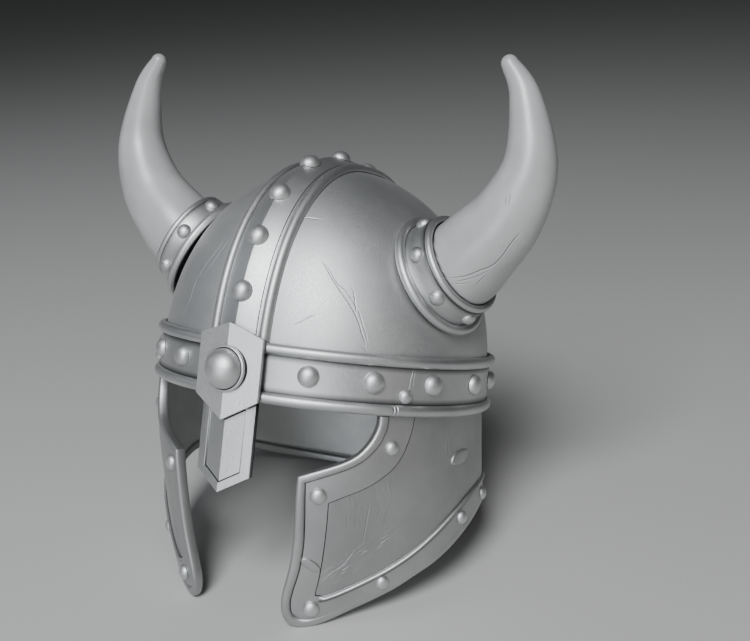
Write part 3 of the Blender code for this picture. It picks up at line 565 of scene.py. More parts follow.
crest = {
    "halfWidth": 21.4, "ridge": 6.4, "endZ": 17.6, "seat": 0.4, "faceX": (9.0, 4.5, 0.35),
    "beadRadius": 3.2, "beadHeight": 1.3, "beadDegrees": (-20, 163), "beadPoints": 12,
    "lineInside": 2.0, "lineHalfWidth": 0.35, "lineDepth": 0.5, "stations": 110, "fitRounds": 12,
    "rivet": (7.0, 4.8), "rivetFold": 0.28,
    # mm along the ridge, measured from arcStartZ in steps of arcStep radians
    "rivetArcs": (46.0, 83.0, 118.0, 158.5, 200.0, 241.5, 282.0, 317.0, 354.0),
    "arcStartZ": 0.5, "arcStep": 0.002,
}


def crestFrame(t, x):
    # the point on the bowl at a sideways distance x, and the outward direction there
    fraction, z = bowlCurve(min(t, pi - t))
    y = -fraction * bowl["halfLength"] * (1 if t <= pi / 2 else -1)
    shrink = 1.0
    for _ in range(crest["fitRounds"]):
        shrink /= bowlLevel((x, y * shrink, z * shrink))
    low, high = bowlCurve(min(t, pi - t) - 0.01), bowlCurve(min(t, pi - t) + 0.01)
    run = (high[0] - low[0]) * bowl["halfLength"]
    rise = high[1] - low[1]
    outward = Vector((0, (-1 if t <= pi / 2 else 1) * rise, -run)).normalized()
    return Vector((x, y * shrink, z * shrink)), outward


def crestAngleAt(z):
    return highestBelow(0.0, pi / 2, lambda t: bowlCurve(t)[1] < z)


def makeCrest():
    c = crest
    beadX = c["halfWidth"] - c["beadRadius"]
    bead = beadArc((beadX, c["beadHeight"]), c["beadRadius"], *c["beadDegrees"], c["beadPoints"])
    inX, inHeight = bead[-1]
    lineX = inX - c["lineInside"]

    def faceHeight(x):
        return c["ridge"] + (inHeight - c["ridge"]) * x / inX

    line = [(lineX + c["lineHalfWidth"], faceHeight(lineX + c["lineHalfWidth"])),
            (lineX, faceHeight(lineX) - c["lineDepth"]),
            (lineX - c["lineHalfWidth"], faceHeight(lineX - c["lineHalfWidth"]))]
    face = [(x, faceHeight(x)) for x in c["faceX"]]
    right = bead + line + face + [(0.0, c["ridge"] - 0.02)]
    # painted shade where the bead meets the bowl and the face, in the engraved line and under the band
    halfShade = [0.9] + [0.0] * (len(bead) - 2) + [0.6, 0.0, 1.0, 0.0] + [0.0] * (len(face) + 1)
    left = [(-x, height) for x, height in reversed(right[:-1])]
    under = [(share * beadX, c["seat"]) for share in (-1.1, -0.5, 0.0, 0.5, 1.1)]
    section = right + left + under
    shade = halfShade + halfShade[-2::-1] + [0.9] * len(under)
    start = crestAngleAt(c["endZ"])
    sections = []
    for i in range(c["stations"] + 1):
        t = start + (pi - 2 * start) * i / c["stations"]
        sections.append([])
        for x, height in section:
            base, outward = crestFrame(t, x)
            sections[-1].append(base + outward * height)
    bm = bmesh.new()
    loftRings(bm, sections, False, [shade] * len(sections))
    finishPiece("crestBandSheet", bm, [plainIron], ["crest_band"], sharpDegrees=28)


def makeCrestRivets():
    c = crest
    bm = bmesh.new()
    wanted = list(c["rivetArcs"])
    arc, t = 0.0, crestAngleAt(c["arcStartZ"])
    base, outward = crestFrame(t, 0.0)
    previous = base + outward * c["ridge"]
    while wanted:
        t += c["arcStep"]
        base, outward = crestFrame(t, 0.0)
        point = base + outward * c["ridge"]
        arc += (point - previous).length
        previous = point
        if arc >= wanted[0]:
            wanted.pop(0)
            ahead = Vector((0, 1, 0)) if abs(outward.y) < 0.9 else Vector((0, 0, 1))
            addRivet(bm, c["rivet"], point, outward, ahead, fold=c["rivetFold"])
    finishRivets("crestRivetHeads", bm, nodesNamed("crest_rivet"))


makeCrest()
makeCrestRivets()
print("crest made")

# Brow plate, boss and nose guard

plate = {
    "halfWidth": 22.9, "ridgeY": -121.2, "sideY": -117.5, "topZ": 26.7, "topCornerZ": 18.5,
    "lowCornerZ": -19.6, "lowZ": -33.0, "thickness": 3.4, "edgeBevel": 1.3,
    "backInset": 0.4, "roundOverDegrees": 50,
}
boss = {
    "z": -1.5, "radius": 12.4, "base": 1.6, "rise": 10.4, "ringRadius": 14.6, "foot": -3.2,
    "around": 96, "stepDegrees": 6,
    # the ring's section: out from the dome, then from the ring's own radius, with heights over the base
    "groove": [(0.15, -0.7), (0.4, -0.6), (0.6, -0.1), (1.0, 0.3)],
    "outer": [(-0.7, 0.25), (-0.2, -0.2), (0.0, -0.8), (0.0, -1.2), (0.0, -1.35)],
}
nasal = {
    "halfWidth": 19.5, "ridgeY": -117.3, "sideY": -112.9, "topZ": -19.2, "cornerZ": -66.8,
    "tipZ": -78.6, "thickness": 3.4, "frame": 6.0, "step": 0.45, "panelDepth": 1.1, "edgeBevel": 1.4,
    "lowFrameLess": 1.3, "lineWidth": 0.35, "gapShadowFull": 0.5, "gapShadowFadeOut": 1.1, "roundOverDegrees": 75,
}
edgeWearAndHighlight = -0.8  # shade-layer value of the rounded edges: rubbed bright, and painted light as a highlight
plateIron = forgedIron("brushedPlateIron", hammer=0.0, pits=0.05)


def flatPlate(bm, outline, thickness, insets=()):
    # two halves that meet on the middle line, flat until foldPlate bends them; each inset is a
    # width, how far it sinks and its painted shade
    paintedShadeAndWear = paintedShadeLayer(bm)
    top, tip = bm.verts.new((0, 0, outline[0])), bm.verts.new((0, 0, outline[-1]))
    for side in (1, -1):
        corners = [bm.verts.new((side * x, 0, z)) for x, z in outline[1:-1]]
        bm.faces.new([top] + corners + [tip])
    bmesh.ops.recalc_face_normals(bm, faces=bm.faces)
    panel = bm.faces[:]
    if sum(face.normal.y for face in panel) > 0:
        bmesh.ops.reverse_faces(bm, faces=panel)
    for width, depth, dark in insets:
        bmesh.ops.inset_region(bm, faces=panel, thickness=width, use_boundary=True, use_even_offset=True)
        inner = list({v for face in panel for v in face.verts})
        bmesh.ops.translate(bm, verts=inner, vec=(0, depth, 0))
        for vert in inner:
            vert[paintedShadeAndWear] = dark
    rim = [edge for edge in bm.edges if edge.is_boundary]
    grown = bmesh.ops.extrude_edge_only(bm, edges=rim)["geom"]
    back = [g for g in grown if isinstance(g, bmesh.types.BMVert)]
    bmesh.ops.translate(bm, verts=back, vec=(0, thickness, 0))
    behind = closeHoles(bm)
    bmesh.ops.inset_region(bm, faces=behind, thickness=plate["backInset"], use_boundary=True,
                           use_even_offset=True)
    unshaded = {vert for face in behind for vert in face.verts}
    # painted shadow: the back edge of the side wall is dark, so the wall reads as a shadow line under the
    # edge
    for vert in bm.verts:
        if vert.co.y > thickness - 0.01:
            vert[paintedShadeAndWear] = 0.0 if vert in unshaded else 1.0
    bmesh.ops.bisect_plane(bm, geom=bm.verts[:] + bm.edges[:] + bm.faces[:], plane_co=(0, 0, 0),
                           plane_no=(1, 0, 0))


def foldPlate(bm, p):
    for vert in bm.verts:
        vert.co.y += p["ridgeY"] + (p["sideY"] - p["ridgeY"]) * abs(vert.co.x) / p["halfWidth"]


def paintGapShadow(bm):
    # painted shadow on the nose guard along the brow plate's lower edge, where the plate overhangs it
    paintedShadeAndWear = paintedShadeLayer(bm)
    front = nasal["panelDepth"] + 0.1
    slope = (plate["lowCornerZ"] - plate["lowZ"]) / plate["halfWidth"]
    for drop, dark in ((nasal["gapShadowFull"], 1.0), (nasal["gapShadowFadeOut"], 0.0)):
        for side in (1, -1):
            faces = [face for face in bm.faces if face.calc_center_median().x * side > 0
                     and face.calc_center_median().y < front]
            edges = {edge for face in faces for edge in face.edges}
            verts = {vert for face in faces for vert in face.verts}
            cut = bmesh.ops.bisect_plane(bm, geom=faces + list(edges | verts), dist=0.0001,
                                         plane_co=(0, 0, plate["lowZ"] - drop),
                                         plane_no=(-side * slope, 0, 1))["geom_cut"]
            for vert in cut:
                if isinstance(vert, bmesh.types.BMVert):
                    vert[paintedShadeAndWear] = dark
    for vert in bm.verts:
        above = vert.co.z - plate["lowZ"] - slope * abs(vert.co.x)
        if above > 0 and vert.co.y < front:
            vert[paintedShadeAndWear] = 1.0


def roundEdges(bm, width, sharperThan, segments=6):
    # rounds the front's edges and paints them bright, as wear and as a highlight
    paintedShadeAndWear = paintedShadeLayer(bm)
    bm.normal_update()
    edges = [edge for edge in bm.edges if len(edge.link_faces) == 2
             and edge.calc_face_angle(0.0) > radians(sharperThan)
             and min(vert[paintedShadeAndWear] for vert in edge.verts) < 0.5]
    rounded = set(bmesh.ops.bevel(bm, geom=edges, offset=width, offset_type="OFFSET", affect="EDGES",
                                  segments=segments, profile=0.5, material=-1,
                                  clamp_overlap=True)["faces"])
    for vert in bm.verts:
        if vert[paintedShadeAndWear] < 0.5 and rounded.issuperset(vert.link_faces):
            vert[paintedShadeAndWear] = edgeWearAndHighlight


def makePlate():
    p = plate
    bm = bmesh.new()
    outline = [p["topZ"], (p["halfWidth"], p["topCornerZ"]), (p["halfWidth"], p["lowCornerZ"]), p["lowZ"]]
    flatPlate(bm, outline, p["thickness"])
    foldPlate(bm, p)
    roundEdges(bm, p["edgeBevel"], p["roundOverDegrees"])
    finishPiece("browPlateSheet", bm, [plateIron], ["brow_plate"], sharpDegrees=17,
                keepFlat=True)


def makeBoss():
    b = boss
    dome = [(b["radius"] * cos(radians(a)), b["base"] + b["rise"] * sin(radians(a)))
            for a in range(90, -1, -b["stepDegrees"])]
    ring = [(b["radius"] + out, b["base"] + up) for out, up in b["groove"]]
    ring += [(b["ringRadius"] + out, b["base"] + up) for out, up in b["outer"]]
    ring += [(b["ringRadius"], b["foot"]), (0.0, b["foot"])]
    bm = bmesh.new()
    spinProfile(bm, dome + ring, b["around"], 0.005)
    paintedShadeAndWear = paintedShadeLayer(bm)
    # painted shade in the groove round the dome and along the ring's foot
    for vert in bm.verts:
        radius = sqrt(vert.co.x ** 2 + vert.co.y ** 2)
        inGroove = b["radius"] + 0.1 < radius < b["radius"] + 0.6
        vert[paintedShadeAndWear] = 1.0 if inGroove or (radius > b["ringRadius"] - 0.1 and vert.co.z < 0.3) else 0.0
    place = Matrix.Translation((0, plate["ridgeY"], b["z"])) @ Matrix.Rotation(radians(90), 4, "X")
    bmesh.ops.transform(bm, matrix=place, verts=bm.verts)
    finishPiece("plateBossDome", bm, [rivetIron], ["plate_boss"], sharpDegrees=45)


def makeNasal():
    n = nasal
    bm = bmesh.new()
    outline = [n["topZ"], (n["halfWidth"], n["topZ"]), (n["halfWidth"], n["cornerZ"]), n["tipZ"]]
    line = n["lineWidth"]
    # painted shade: the step down to the panel and a thin line inside it are dark
    insets = [(n["frame"], 0.0, 0.0), (n["step"], n["panelDepth"], 1.0), (line, 0.0, 1.0), (line, 0.0, 0.0)]
    flatPlate(bm, outline, n["thickness"], insets)
    for vert in bm.verts:
        if vert.co.y < n["panelDepth"] + 0.1 and abs(vert.co.x) < n["halfWidth"] - 1:
            if n["tipZ"] + 2 < vert.co.z < n["cornerZ"] + n["frame"]:
                vert.co.z -= n["lowFrameLess"]
    paintGapShadow(bm)
    foldPlate(bm, n)
    roundEdges(bm, n["edgeBevel"], n["roundOverDegrees"])
    finishPiece("nasalSheet", bm, [plateIron], ["nasal_guard"], sharpDegrees=17,
                keepFlat=True)


makePlate()
makeBoss()
makeNasal()
print("brow plate, boss and nose guard made")

# Neck guard and its trim

guard = {
    # the guard's iron is painted darker than the bowl's, as shade
    "light": "#b4b5b4", "dark": "#a5a7a7",
    "halfWidth": 113.5, "halfLength": 108.5, "topZ": -4.4, "sheet": 2.0,
    "drawStart": 63.0, "drawBlend": 12.0, "drawPerMillimetre": 0.00227,
    "flareStart": 12.0, "flareSlope": 0.115,
    "narrowDegrees": (45, 110), "flareDegrees": (55, 105),
    "columnDegrees": 1.7, "openColumns": 16, "levels": 26,
    "marks": [
        ("roughScratch", 0.5, 0.18, 3.0, [(111.0, -24.9, -26.4), (111.4, -25.2, -40.0),
         (112.0, -24.5, -53.7)]),
        ("roughScratchBeside", 0.45, 0.15, 3.0, [(110.2, -28.4, -29.0), (110.8, -28.4, -38.0),
         (111.4, -28.0, -47.0)]),
        ("cheekScratch", 0.6, 0.22, 3.0, [(82.0, -69.9, -74.3), (79.0, -66.3, -94.6),
         (77.2, -64.6, -104.9)]),
        ("lowCheekScratch", 0.6, 0.22, 3.0, [(61.4, -72.2, -124.9), (68.7, -68.7, -116.9),
         (73.8, -67.2, -107.0)]),
    ],
    # name, half width, depth, spacing of the lines, strokes along them, path
    "scuffs": [
        ("upperScuffs", 12.0, 0.3, 1.2, 2.2, [(70.2, -83.3, -63.4), (72.5, -76.9, -81.4),
         (72.7, -70.8, -99.5)]),
        ("middleScuffs", 11.0, 0.20, 1.2, 2.2, [(65.1, -70.9, -119.8), (81.8, -59.8, -104.8),
         (98.1, -45.5, -87.1)]),
        ("lowScuffs", 9.0, 0.22, 1.2, 2.0, [(54.3, -74.2, -135.2), (64.5, -70.5, -122.6),
         (74.1, -65.1, -112.5)]),
        ("rearScuffs", 10.0, 0.24, 1.2, 2.2, [(86.2, -69.5, -53.4), (89.1, -62.3, -72.8),
         (84.9, -59.9, -94.5)]),
        ("sideScuffs", 6.0, 0.3, 1.2, 3.0, [(110.6, -26.5, -24.0), (111.3, -26.5, -42.0),
         (112.0, -25.5, -60.0)]),
    ],
}
trim = {
    # edge angle, edge z, border angle, border z, roll height, bead height
    "rows": [
        (47.2, -20.9, 60.4, -20.9, 3.1, 0.0), (47.1, -27.6, 60.0, -29.5, 3.1, 0.0),
        (45.3, -36.5, 58.2, -42.0, 3.1, 0.0), (41.9, -45.0, 55.2, -52.6, 3.1, 0.0),
        (37.8, -50.3, 50.3, -61.3, 3.1, 0.0), (33.2, -54.3, 45.2, -67.8, 3.1, 0.0),
        (28.3, -58.2, 39.9, -72.8, 3.1, 0.0), (23.6, -62.0, 34.6, -78.1, 3.1, 0.0),
        (23.6, -72.0, 34.8, -84.0, 3.1, 0.0), (23.8, -88.0, 35.1, -94.5, 3.1, 0.0),
        (24.0, -106.3, 35.3, -109.5, 3.1, 0.0), (23.2, -124.3, 35.2, -124.0, 3.1, 0.0),
        (21.5, -140.0, 34.7, -135.2, 3.1, 0.0), (21.1, -150.0, 34.4, -139.4, 3.1, 0.0),
        (22.4, -158.4, 34.5, -140.7, 2.9, 0.0), (25.3, -163.2, 35.0, -140.9, 2.6, 0.0),
        (29.9, -164.5, 36.2, -141.0, 2.2, 0.0), (35.7, -162.5, 38.0, -140.8, 1.9, 1.5),
        (41.6, -158.4, 41.2, -138.6, 1.7, 1.5), (49.6, -151.3, 46.9, -133.8, 1.6, 1.5),
        (57.8, -144.0, 53.2, -127.8, 1.6, 1.5), (65.3, -135.7, 59.0, -121.8, 1.6, 1.5),
        (71.8, -126.3, 64.4, -114.8, 1.6, 1.5), (78.0, -117.8, 69.6, -106.6, 1.6, 1.5),
        (83.7, -108.9, 75.0, -96.8, 1.6, 1.5), (89.4, -99.9, 81.2, -85.6, 1.6, 1.5),
        (93.0, -95.0, 85.5, -79.2, 1.6, 1.5), (96.5, -90.7, 90.0, -73.4, 1.6, 1.5),
        (100.1, -87.4, 95.5, -69.0, 1.6, 1.5), (104.0, -85.4, 101.5, -66.2, 1.6, 1.5),
        (112.0, -85.0, 112.0, -65.2, 1.6, 1.5), (120.0, -86.8, 120.3, -67.0, 1.6, 1.5),
        (128.0, -89.6, 128.4, -69.8, 1.6, 1.5), (136.0, -92.1, 136.3, -72.3, 1.6, 1.5),
        (144.0, -94.0, 144.2, -74.2, 1.6, 1.5), (153.0, -95.4, 153.0, -75.5, 1.6, 1.5),
        (162.0, -96.3, 162.0, -76.4, 1.6, 1.5), (171.0, -96.7, 171.0, -76.7, 1.6, 1.5),
        (180.0, -96.8, 180.0, -76.8, 1.6, 1.5),
    ],
    "sharpRow": 7, "toeRow": 14, "perSpan": 4,
    "strip": 0.5, "lineDepth": 0.5, "faceSteps": 6,
    "rollWidth": 6.6, "rollFullness": 3.0, "rollPoints": 24, "rollStartDegrees": -50, "flatRoll": 1.6,
    "beadWidth": 2.4, "beadPoints": 8, "beadInset": 0.7, "creaseShade": 0.8,
    "rivet": (5.4, 3.9), "smallRivet": (4.6, 3.4), "rivetSeat": 0.5,
    # how the solid's name starts, angle, height in mm, large head or not
    "rivets": [
        ("cheek_corner", 30.8, -73.5, True), ("cheek_upper", 53.1, -40.7, False),
        ("cheek_tip", 33.3, -150.3, True), ("lower_front", 60.0, -130.5, False),
        ("lower_side", 87.5, -88.6, False), ("lower_turn", 104.0, -77.5, False),
        ("lower_rear", 128.0, -79.8, False), ("lower_back", 154.0, -85.6, False),
        ("lower_rivet_rear", 180.0, -86.8, False),
    ],
    # raised mending patches: middle, half of the length and half of the width, each as an angle
    # and a height in mm, the height of the metal below, and how blunt the ends are
    "patchSteps": 24,
    "patches": [
        ((83.7, -47.9), (4.5, 4.5), (2.65, -2.96), 0.0, 0.75),
        ((31.1, -120.0), (3.7, -3.15), (-0.42, -3.05), 0.5, 0.45),
    ],
    # across a patch: share of its half width, height over the metal below, painted shade, only along one
    # side as a shadow
    "patchProfile": [
        (-1.0, -0.8, 0.0), (-1.0, 0.5, 0.0), (-0.94, 0.95, 0.0), (-0.8, 1.2, 0.0), (-0.4, 1.3, 0.0),
        (0.0, 1.35, 0.0), (0.4, 1.3, 0.0), (0.8, 1.2, 0.0), (0.94, 0.95, 0.0), (1.0, 0.5, 0.4),
        (1.02, 0.1, 1.0), (1.12, -0.1, 1.0), (1.12, -0.8, 1.0),
    ],
}


def guardFace(angle, z):
    below = -z - guard["drawStart"]
    drawn = (sqrt(below ** 2 + guard["drawBlend"] ** 2) + below) / 2
    fraction = 1 - guard["drawPerMillimetre"] * drawn * (1 - smoothStep(angle, *guard["narrowDegrees"]))
    flare = guard["flareSlope"] * max(-z - guard["flareStart"], 0.0)
    flare *= smoothStep(angle, *guard["flareDegrees"])
    turn = radians(angle)
    return Vector(((guard["halfWidth"] * fraction + flare) * sin(turn),
                   -(guard["halfLength"] * fraction + flare) * cos(turn), z))


def guardNormal(angle, z):
    around = guardFace(angle + 0.5, z) - guardFace(angle - 0.5, z)
    along = guardFace(angle, z + 0.5) - guardFace(angle, z - 0.5)
    return around.cross(along).normalized()


def guardPoint(angle, z, height):
    return guardFace(angle, z) + guardNormal(angle, z) * height


def trimProfile(width, roll, bead):
    # closed section as (distance from the edge, height over the sheet, painted shade); low on the guard the
    # rolled edge dies down into the flat strip
    raised = min(max((roll - trim["flatRoll"]) / 1.5, 0.0), 1.0)
    top = trim["strip"]
    crown = top + 0.15 + (roll - top - 0.15) * raised
    inside = -guard["sheet"] - 0.75 * roll
    halfWidth, halfHeight = trim["rollWidth"] / 2, (crown - inside) / 2
    centre = (crown + inside) / 2
    power = 2 / trim["rollFullness"]
    first = radians(trim["rollStartDegrees"])
    last = asin(((top - centre) / halfHeight) ** (1 / power)) - 2 * pi
    shape = []
    for step in range(trim["rollPoints"]):
        a = first + (last - first) * step / (trim["rollPoints"] - 1)
        x = halfWidth + halfWidth * abs(cos(a)) ** power * (1 if cos(a) > 0 else -1)
        height = centre + halfHeight * abs(sin(a)) ** power * (1 if sin(a) > 0 else -1)
        shape.append((x, height, 0.0))
    start = trim["rollWidth"]
    bead = max(bead, 0.0)
    rise = min(bead, 1.0)
    # painted shade in the crease inside the roll and in the creases beside the bead
    crease = trim["creaseShade"] * rise
    beadStart = width - trim["beadInset"] - trim["beadWidth"]
    shape += [(start + 0.1, top - trim["lineDepth"] * raised, raised), (start + 0.6, top, 0.0)]
    for step in range(1, trim["faceSteps"] + 1):
        x = start + 0.6 + (beadStart - 1.1 - start) * step / trim["faceSteps"]
        shape.append((x, top, crease if step == trim["faceSteps"] else 0.0))
    for step in range(1, trim["beadPoints"] + 1):
        a = pi * (1 - step / trim["beadPoints"])
        x = beadStart + trim["beadWidth"] * (1 + cos(a)) / 2
        shape.append((x, top + bead * sin(a), crease if step == trim["beadPoints"] else 0.0))
    # an engraved line just inside the border where there is no bead, painted dark as shade
    shape += [(width - 0.62, top, 0.0), (width - 0.5, top - 0.1 * (1 - rise), 1.0 - rise),
              (width - 0.1, top - 0.15, 1.0 - rise), (width, top - 0.25, 1.0), (width + 0.1, -0.5, 1.0),
              (start + 0.4, -0.6, 0.0), (start - 0.4, -guard["sheet"] - 0.2, 0.0)]
    return shape


def trimSection(row):
    edgeAngle, edgeZ, borderAngle, borderZ, roll, bead = row
    width = (guardFace(edgeAngle, edgeZ) - guardFace(borderAngle, borderZ)).length
    points, shade = [], []
    for distance, height, paintedShadeAndWear in trimProfile(width, roll, bead):
        blend = distance / width
        points.append(guardPoint(edgeAngle + (borderAngle - edgeAngle) * blend,
                                 edgeZ + (borderZ - edgeZ) * blend, height))
        shade.append(paintedShadeAndWear)
    return points, shade


def addPatches(bm):
    for middle, along, across, base, blunt in trim["patches"]:
        sections, shades = [], []
        for step in range(trim["patchSteps"] + 1):
            share = -1 + 2 * step / trim["patchSteps"]
            wide = max(1 - share ** 2, 0.02) ** blunt
            high = min(1.0, wide / 0.45)
            sections.append([guardPoint(middle[0] + along[0] * share + across[0] * wide * side,
                                        middle[1] + along[1] * share + across[1] * wide * side,
                                        base + (height * high if height > 0 else height))
                             for side, height, _ in trim["patchProfile"]])
            shades.append([paintedShadeAndWear for _, _, paintedShadeAndWear in trim["patchProfile"]])
        patch = bmesh.new()
        loftRings(patch, sections, False, shades)
        joined = bpy.data.meshes.new("mendingPatch")
        patch.to_mesh(joined)
        patch.free()
        bm.from_mesh(joined)
        bpy.data.meshes.remove(joined)


def makeGuardTrim():
    rows = smoothRows(trim["rows"], trim["perSpan"], trim["sharpRow"])
    left, shades = zip(*[trimSection(row) for row in rows])
    right = [[mirrored(p) for p in section] for section in reversed(left[:-1])]
    bm = bmesh.new()
    loftRings(bm, list(left) + right, False, list(shades) + list(reversed(shades[:-1])))
    addPatches(bm)
    finishPiece("guardTrimStrip", bm, [shadedTrimIron], ["guard_trim"], sharpDegrees=38)


def sheetEdge(row):
    # the sheet's own edge, a little under the trim's strip
    edgeAngle, edgeZ, borderAngle, borderZ = row[:4]
    width = (guardFace(edgeAngle, edgeZ) - guardFace(borderAngle, borderZ)).length
    blend = (trim["rollWidth"] + 0.5) / width
    return edgeAngle + (borderAngle - edgeAngle) * blend, edgeZ + (borderZ - edgeZ) * blend


def makeNeckGuard():
    rows = smoothRows(trim["rows"], trim["perSpan"], trim["sharpRow"])
    corner, toe = trim["sharpRow"] * trim["perSpan"], trim["toeRow"] * trim["perSpan"]
    opening = sorted(sheetEdge(row) for row in rows[:corner + 1])
    lower = sorted(sheetEdge(row) for row in rows[toe:])
    front = max(sheetEdge(row)[0] for row in rows[corner:toe])
    openAngles, openHeights = zip(*opening)
    lowAngles, lowHeights = zip(*lower)
    last = openAngles[-1]
    # the columns crowd towards the upper corner of the face opening, where the edge turns
    shares = np.linspace(0.0, 1.0, guard["openColumns"] + 1)
    half = [front + (last - front) * (1 - (1 - share) ** 2) for share in shares] + [last + 0.4]
    steps = round((180 - half[-1]) / guard["columnDegrees"])
    half += [half[-1] + (180 - half[-1]) * i / steps for i in range(1, steps + 1)]
    angles = half + [360 - angle for angle in reversed(half[:-1])]

    def place(column, level):
        angle = min(angles[column], 360 - angles[column])
        low = float(np.interp(angle, lowAngles, lowHeights))
        high = guard["topZ"]
        if angle <= last:
            high = float(np.interp(angle, openAngles, openHeights))
        point = guardFace(angle, low + (high - low) * level / guard["levels"])
        return point if angles[column] <= 180 else mirrored(point)

    bm = bmesh.new()
    warpedGrid(bm, len(angles) - 1, guard["levels"], place)
    sheet = forgedIron("brushedGuardIronShadedDarker", guard["marks"], guard["scuffs"], guard["light"],
                       guard["dark"])
    finishPiece("neckGuardSheet", bm, [sheet, lightenedInnerIron], ["neck_guard"],
                wall=guard["sheet"], outward=lambda p: Vector((p.x, p.y, 0)),
                marks=guard["marks"] + guard["scuffs"])


def makeGuardRivets():
    bm = bmesh.new()
    nodes = []
    for start, angle, z, large in trim["rivets"]:
        head = trim["rivet"] if large else trim["smallRivet"]
        point, outward = guardPoint(angle, z, trim["rivetSeat"]), guardNormal(angle, z)
        for side in ((1, -1) if angle < 180 else (1,)):
            addRivet(bm, head, mirrored(point, side), mirrored(outward, side))
        nodes += [name for name in nodesNamed(start) if name not in nodes]
    finishRivets("guardRivetHeads", bm, nodes)


makeGuardTrim()
makeNeckGuard()
makeGuardRivets()
print("neck guard made")

# Horns and their collars

horn = {
    # x, y, z, radius, from inside the collar to the tip, for the wearer's left
    "rows": [(99.7, -26.9, 72.4, 28.9), (108.6, -29.0, 77.5, 28.9), (119.1, -33.0, 86.9, 26.9),
             (138.9, -37.5, 109.7, 22.5), (150.4, -41.1, 141.6, 16.7), (144.3, -47.0, 180.6, 9.6),
             (133.7, -50.8, 199.3, 5.3)],
    "perSpan": 12, "around": 64, "tipSteps": 8, "tipEnd": 8.4,
    "marks": [
        ("hornCrack", 0.75, 0.85, 5.0, [(112.2, -55.7, 67.4), (122.6, -54.7, 69.8), (130.6, -53.2, 73.9),
         (137.1, -51.0, 77.4), (142.7, -50.9, 83.5), (148.7, -52.1, 92.9), (153.7, -51.3, 100.2)]),
        ("hornCrackBeside", 0.55, 0.5, 4.0, [(114.4, -54.4, 65.4), (123.8, -53.3, 68.1),
         (130.5, -51.7, 71.2), (135.4, -50.4, 74.8)]),
        ("hornCrackLow", 0.6, 0.5, 4.0, [(127.2, -48.5, 64.5), (130.1, -49.6, 68.1),
         (133.2, -49.6, 71.4)]),
        ("hornCrackLowest", 0.5, 0.35, 4.0, [(115.6, -53.7, 64.5), (120.8, -52.4, 64.9),
         (125.1, -51.6, 66.5)]),
        ("hornNick", 0.5, 0.45, 3.0, [(144.6, -59.1, 120.5), (144.3, -59.3, 116.8),
         (144.6, -59.3, 113.6)]),
        ("hornNickBeside", 0.5, 0.45, 3.0, [(146.7, -58.9, 121.6), (146.5, -59.0, 117.8),
         (146.2, -59.0, 113.9)]),
    ],
}
collar = {
    "centre": Vector((93.15, -25.4, 68.6)), "axis": Vector((0.85, -0.20, 0.49)).normalized(),
    "flangeRing": 38.4, "flangeBead": 3.1, "wall": 34.2, "rootRing": 31.4, "rootBead": 2.4,
    "flangeDegrees": (-100, 158), "flangePoints": 16, "rootDegrees": (-55, 180), "rootPoints": 14,
    "rootRise": 17.8, "hole": 29.0, "holeRise": 11.0, "skirt": 35.0, "stations": 128,
    "rivets": 7, "rivet": (5.3, 4.2), "rivetRise": 9.5, "rivetPhase": 39.0, "rivetSink": 0.6,
}


def makeHorn(name, side, node, material, marks):
    stations = smoothRows(horn["rows"], horn["perSpan"])
    tip, before = stations[-1], stations[-2]
    heading = (tip[:3] - before[:3]) / np.linalg.norm(tip[:3] - before[:3])
    for step in range(1, horn["tipSteps"] + 1):
        a = pi / 2 * step / horn["tipEnd"]
        stations.append(np.append(tip[:3] + heading * tip[3] * sin(a), tip[3] * cos(a)))
    centres = [Vector(row[:3]) for row in stations]
    sections = []
    across = Vector((0, 1, 0))
    for i, row in enumerate(stations):
        ahead = (centres[min(i + 1, len(centres) - 1)] - centres[max(i - 1, 0)]).normalized()
        across = (across - ahead * across.dot(ahead)).normalized()
        up = ahead.cross(across)
        turns = [2 * pi * k / horn["around"] for k in range(horn["around"])]
        ring = [centres[i] + (across * cos(turn) + up * sin(turn)) * row[3] for turn in turns]
        sections.append([mirrored(p, side) for p in ring])
    # painted shade on the horn inside the collar, up to its mouth, so the joint reads as a dark line
    mouth = collar["rootRise"] + collar["rootBead"]
    middle, outwards = mirrored(collar["centre"], side), mirrored(collar["axis"], side)
    shades = [[1 - smoothStep((p - middle).dot(outwards), mouth - 0.6, mouth + 0.3) for p in section]
              for section in sections]
    bm = bmesh.new()
    loftRings(bm, sections, False, shades)
    finishPiece(name, bm, [material], [node], sharpDegrees=40, marks=marks)


def collarPoint(turn, radius, rise):
    across = collar["axis"].cross(Vector((0, 0, 1))).normalized()
    up = collar["axis"].cross(across).normalized()
    return collar["centre"] + (across * cos(turn) + up * sin(turn)) * radius + collar["axis"] * rise


def bowlRise(turn, radius):
    # how far along the collar's axis the bowl's face lies at this place on the collar
    return highestBelow(-40.0, 40.0, lambda rise: bowlLevel(collarPoint(turn, radius, rise)) < 1)


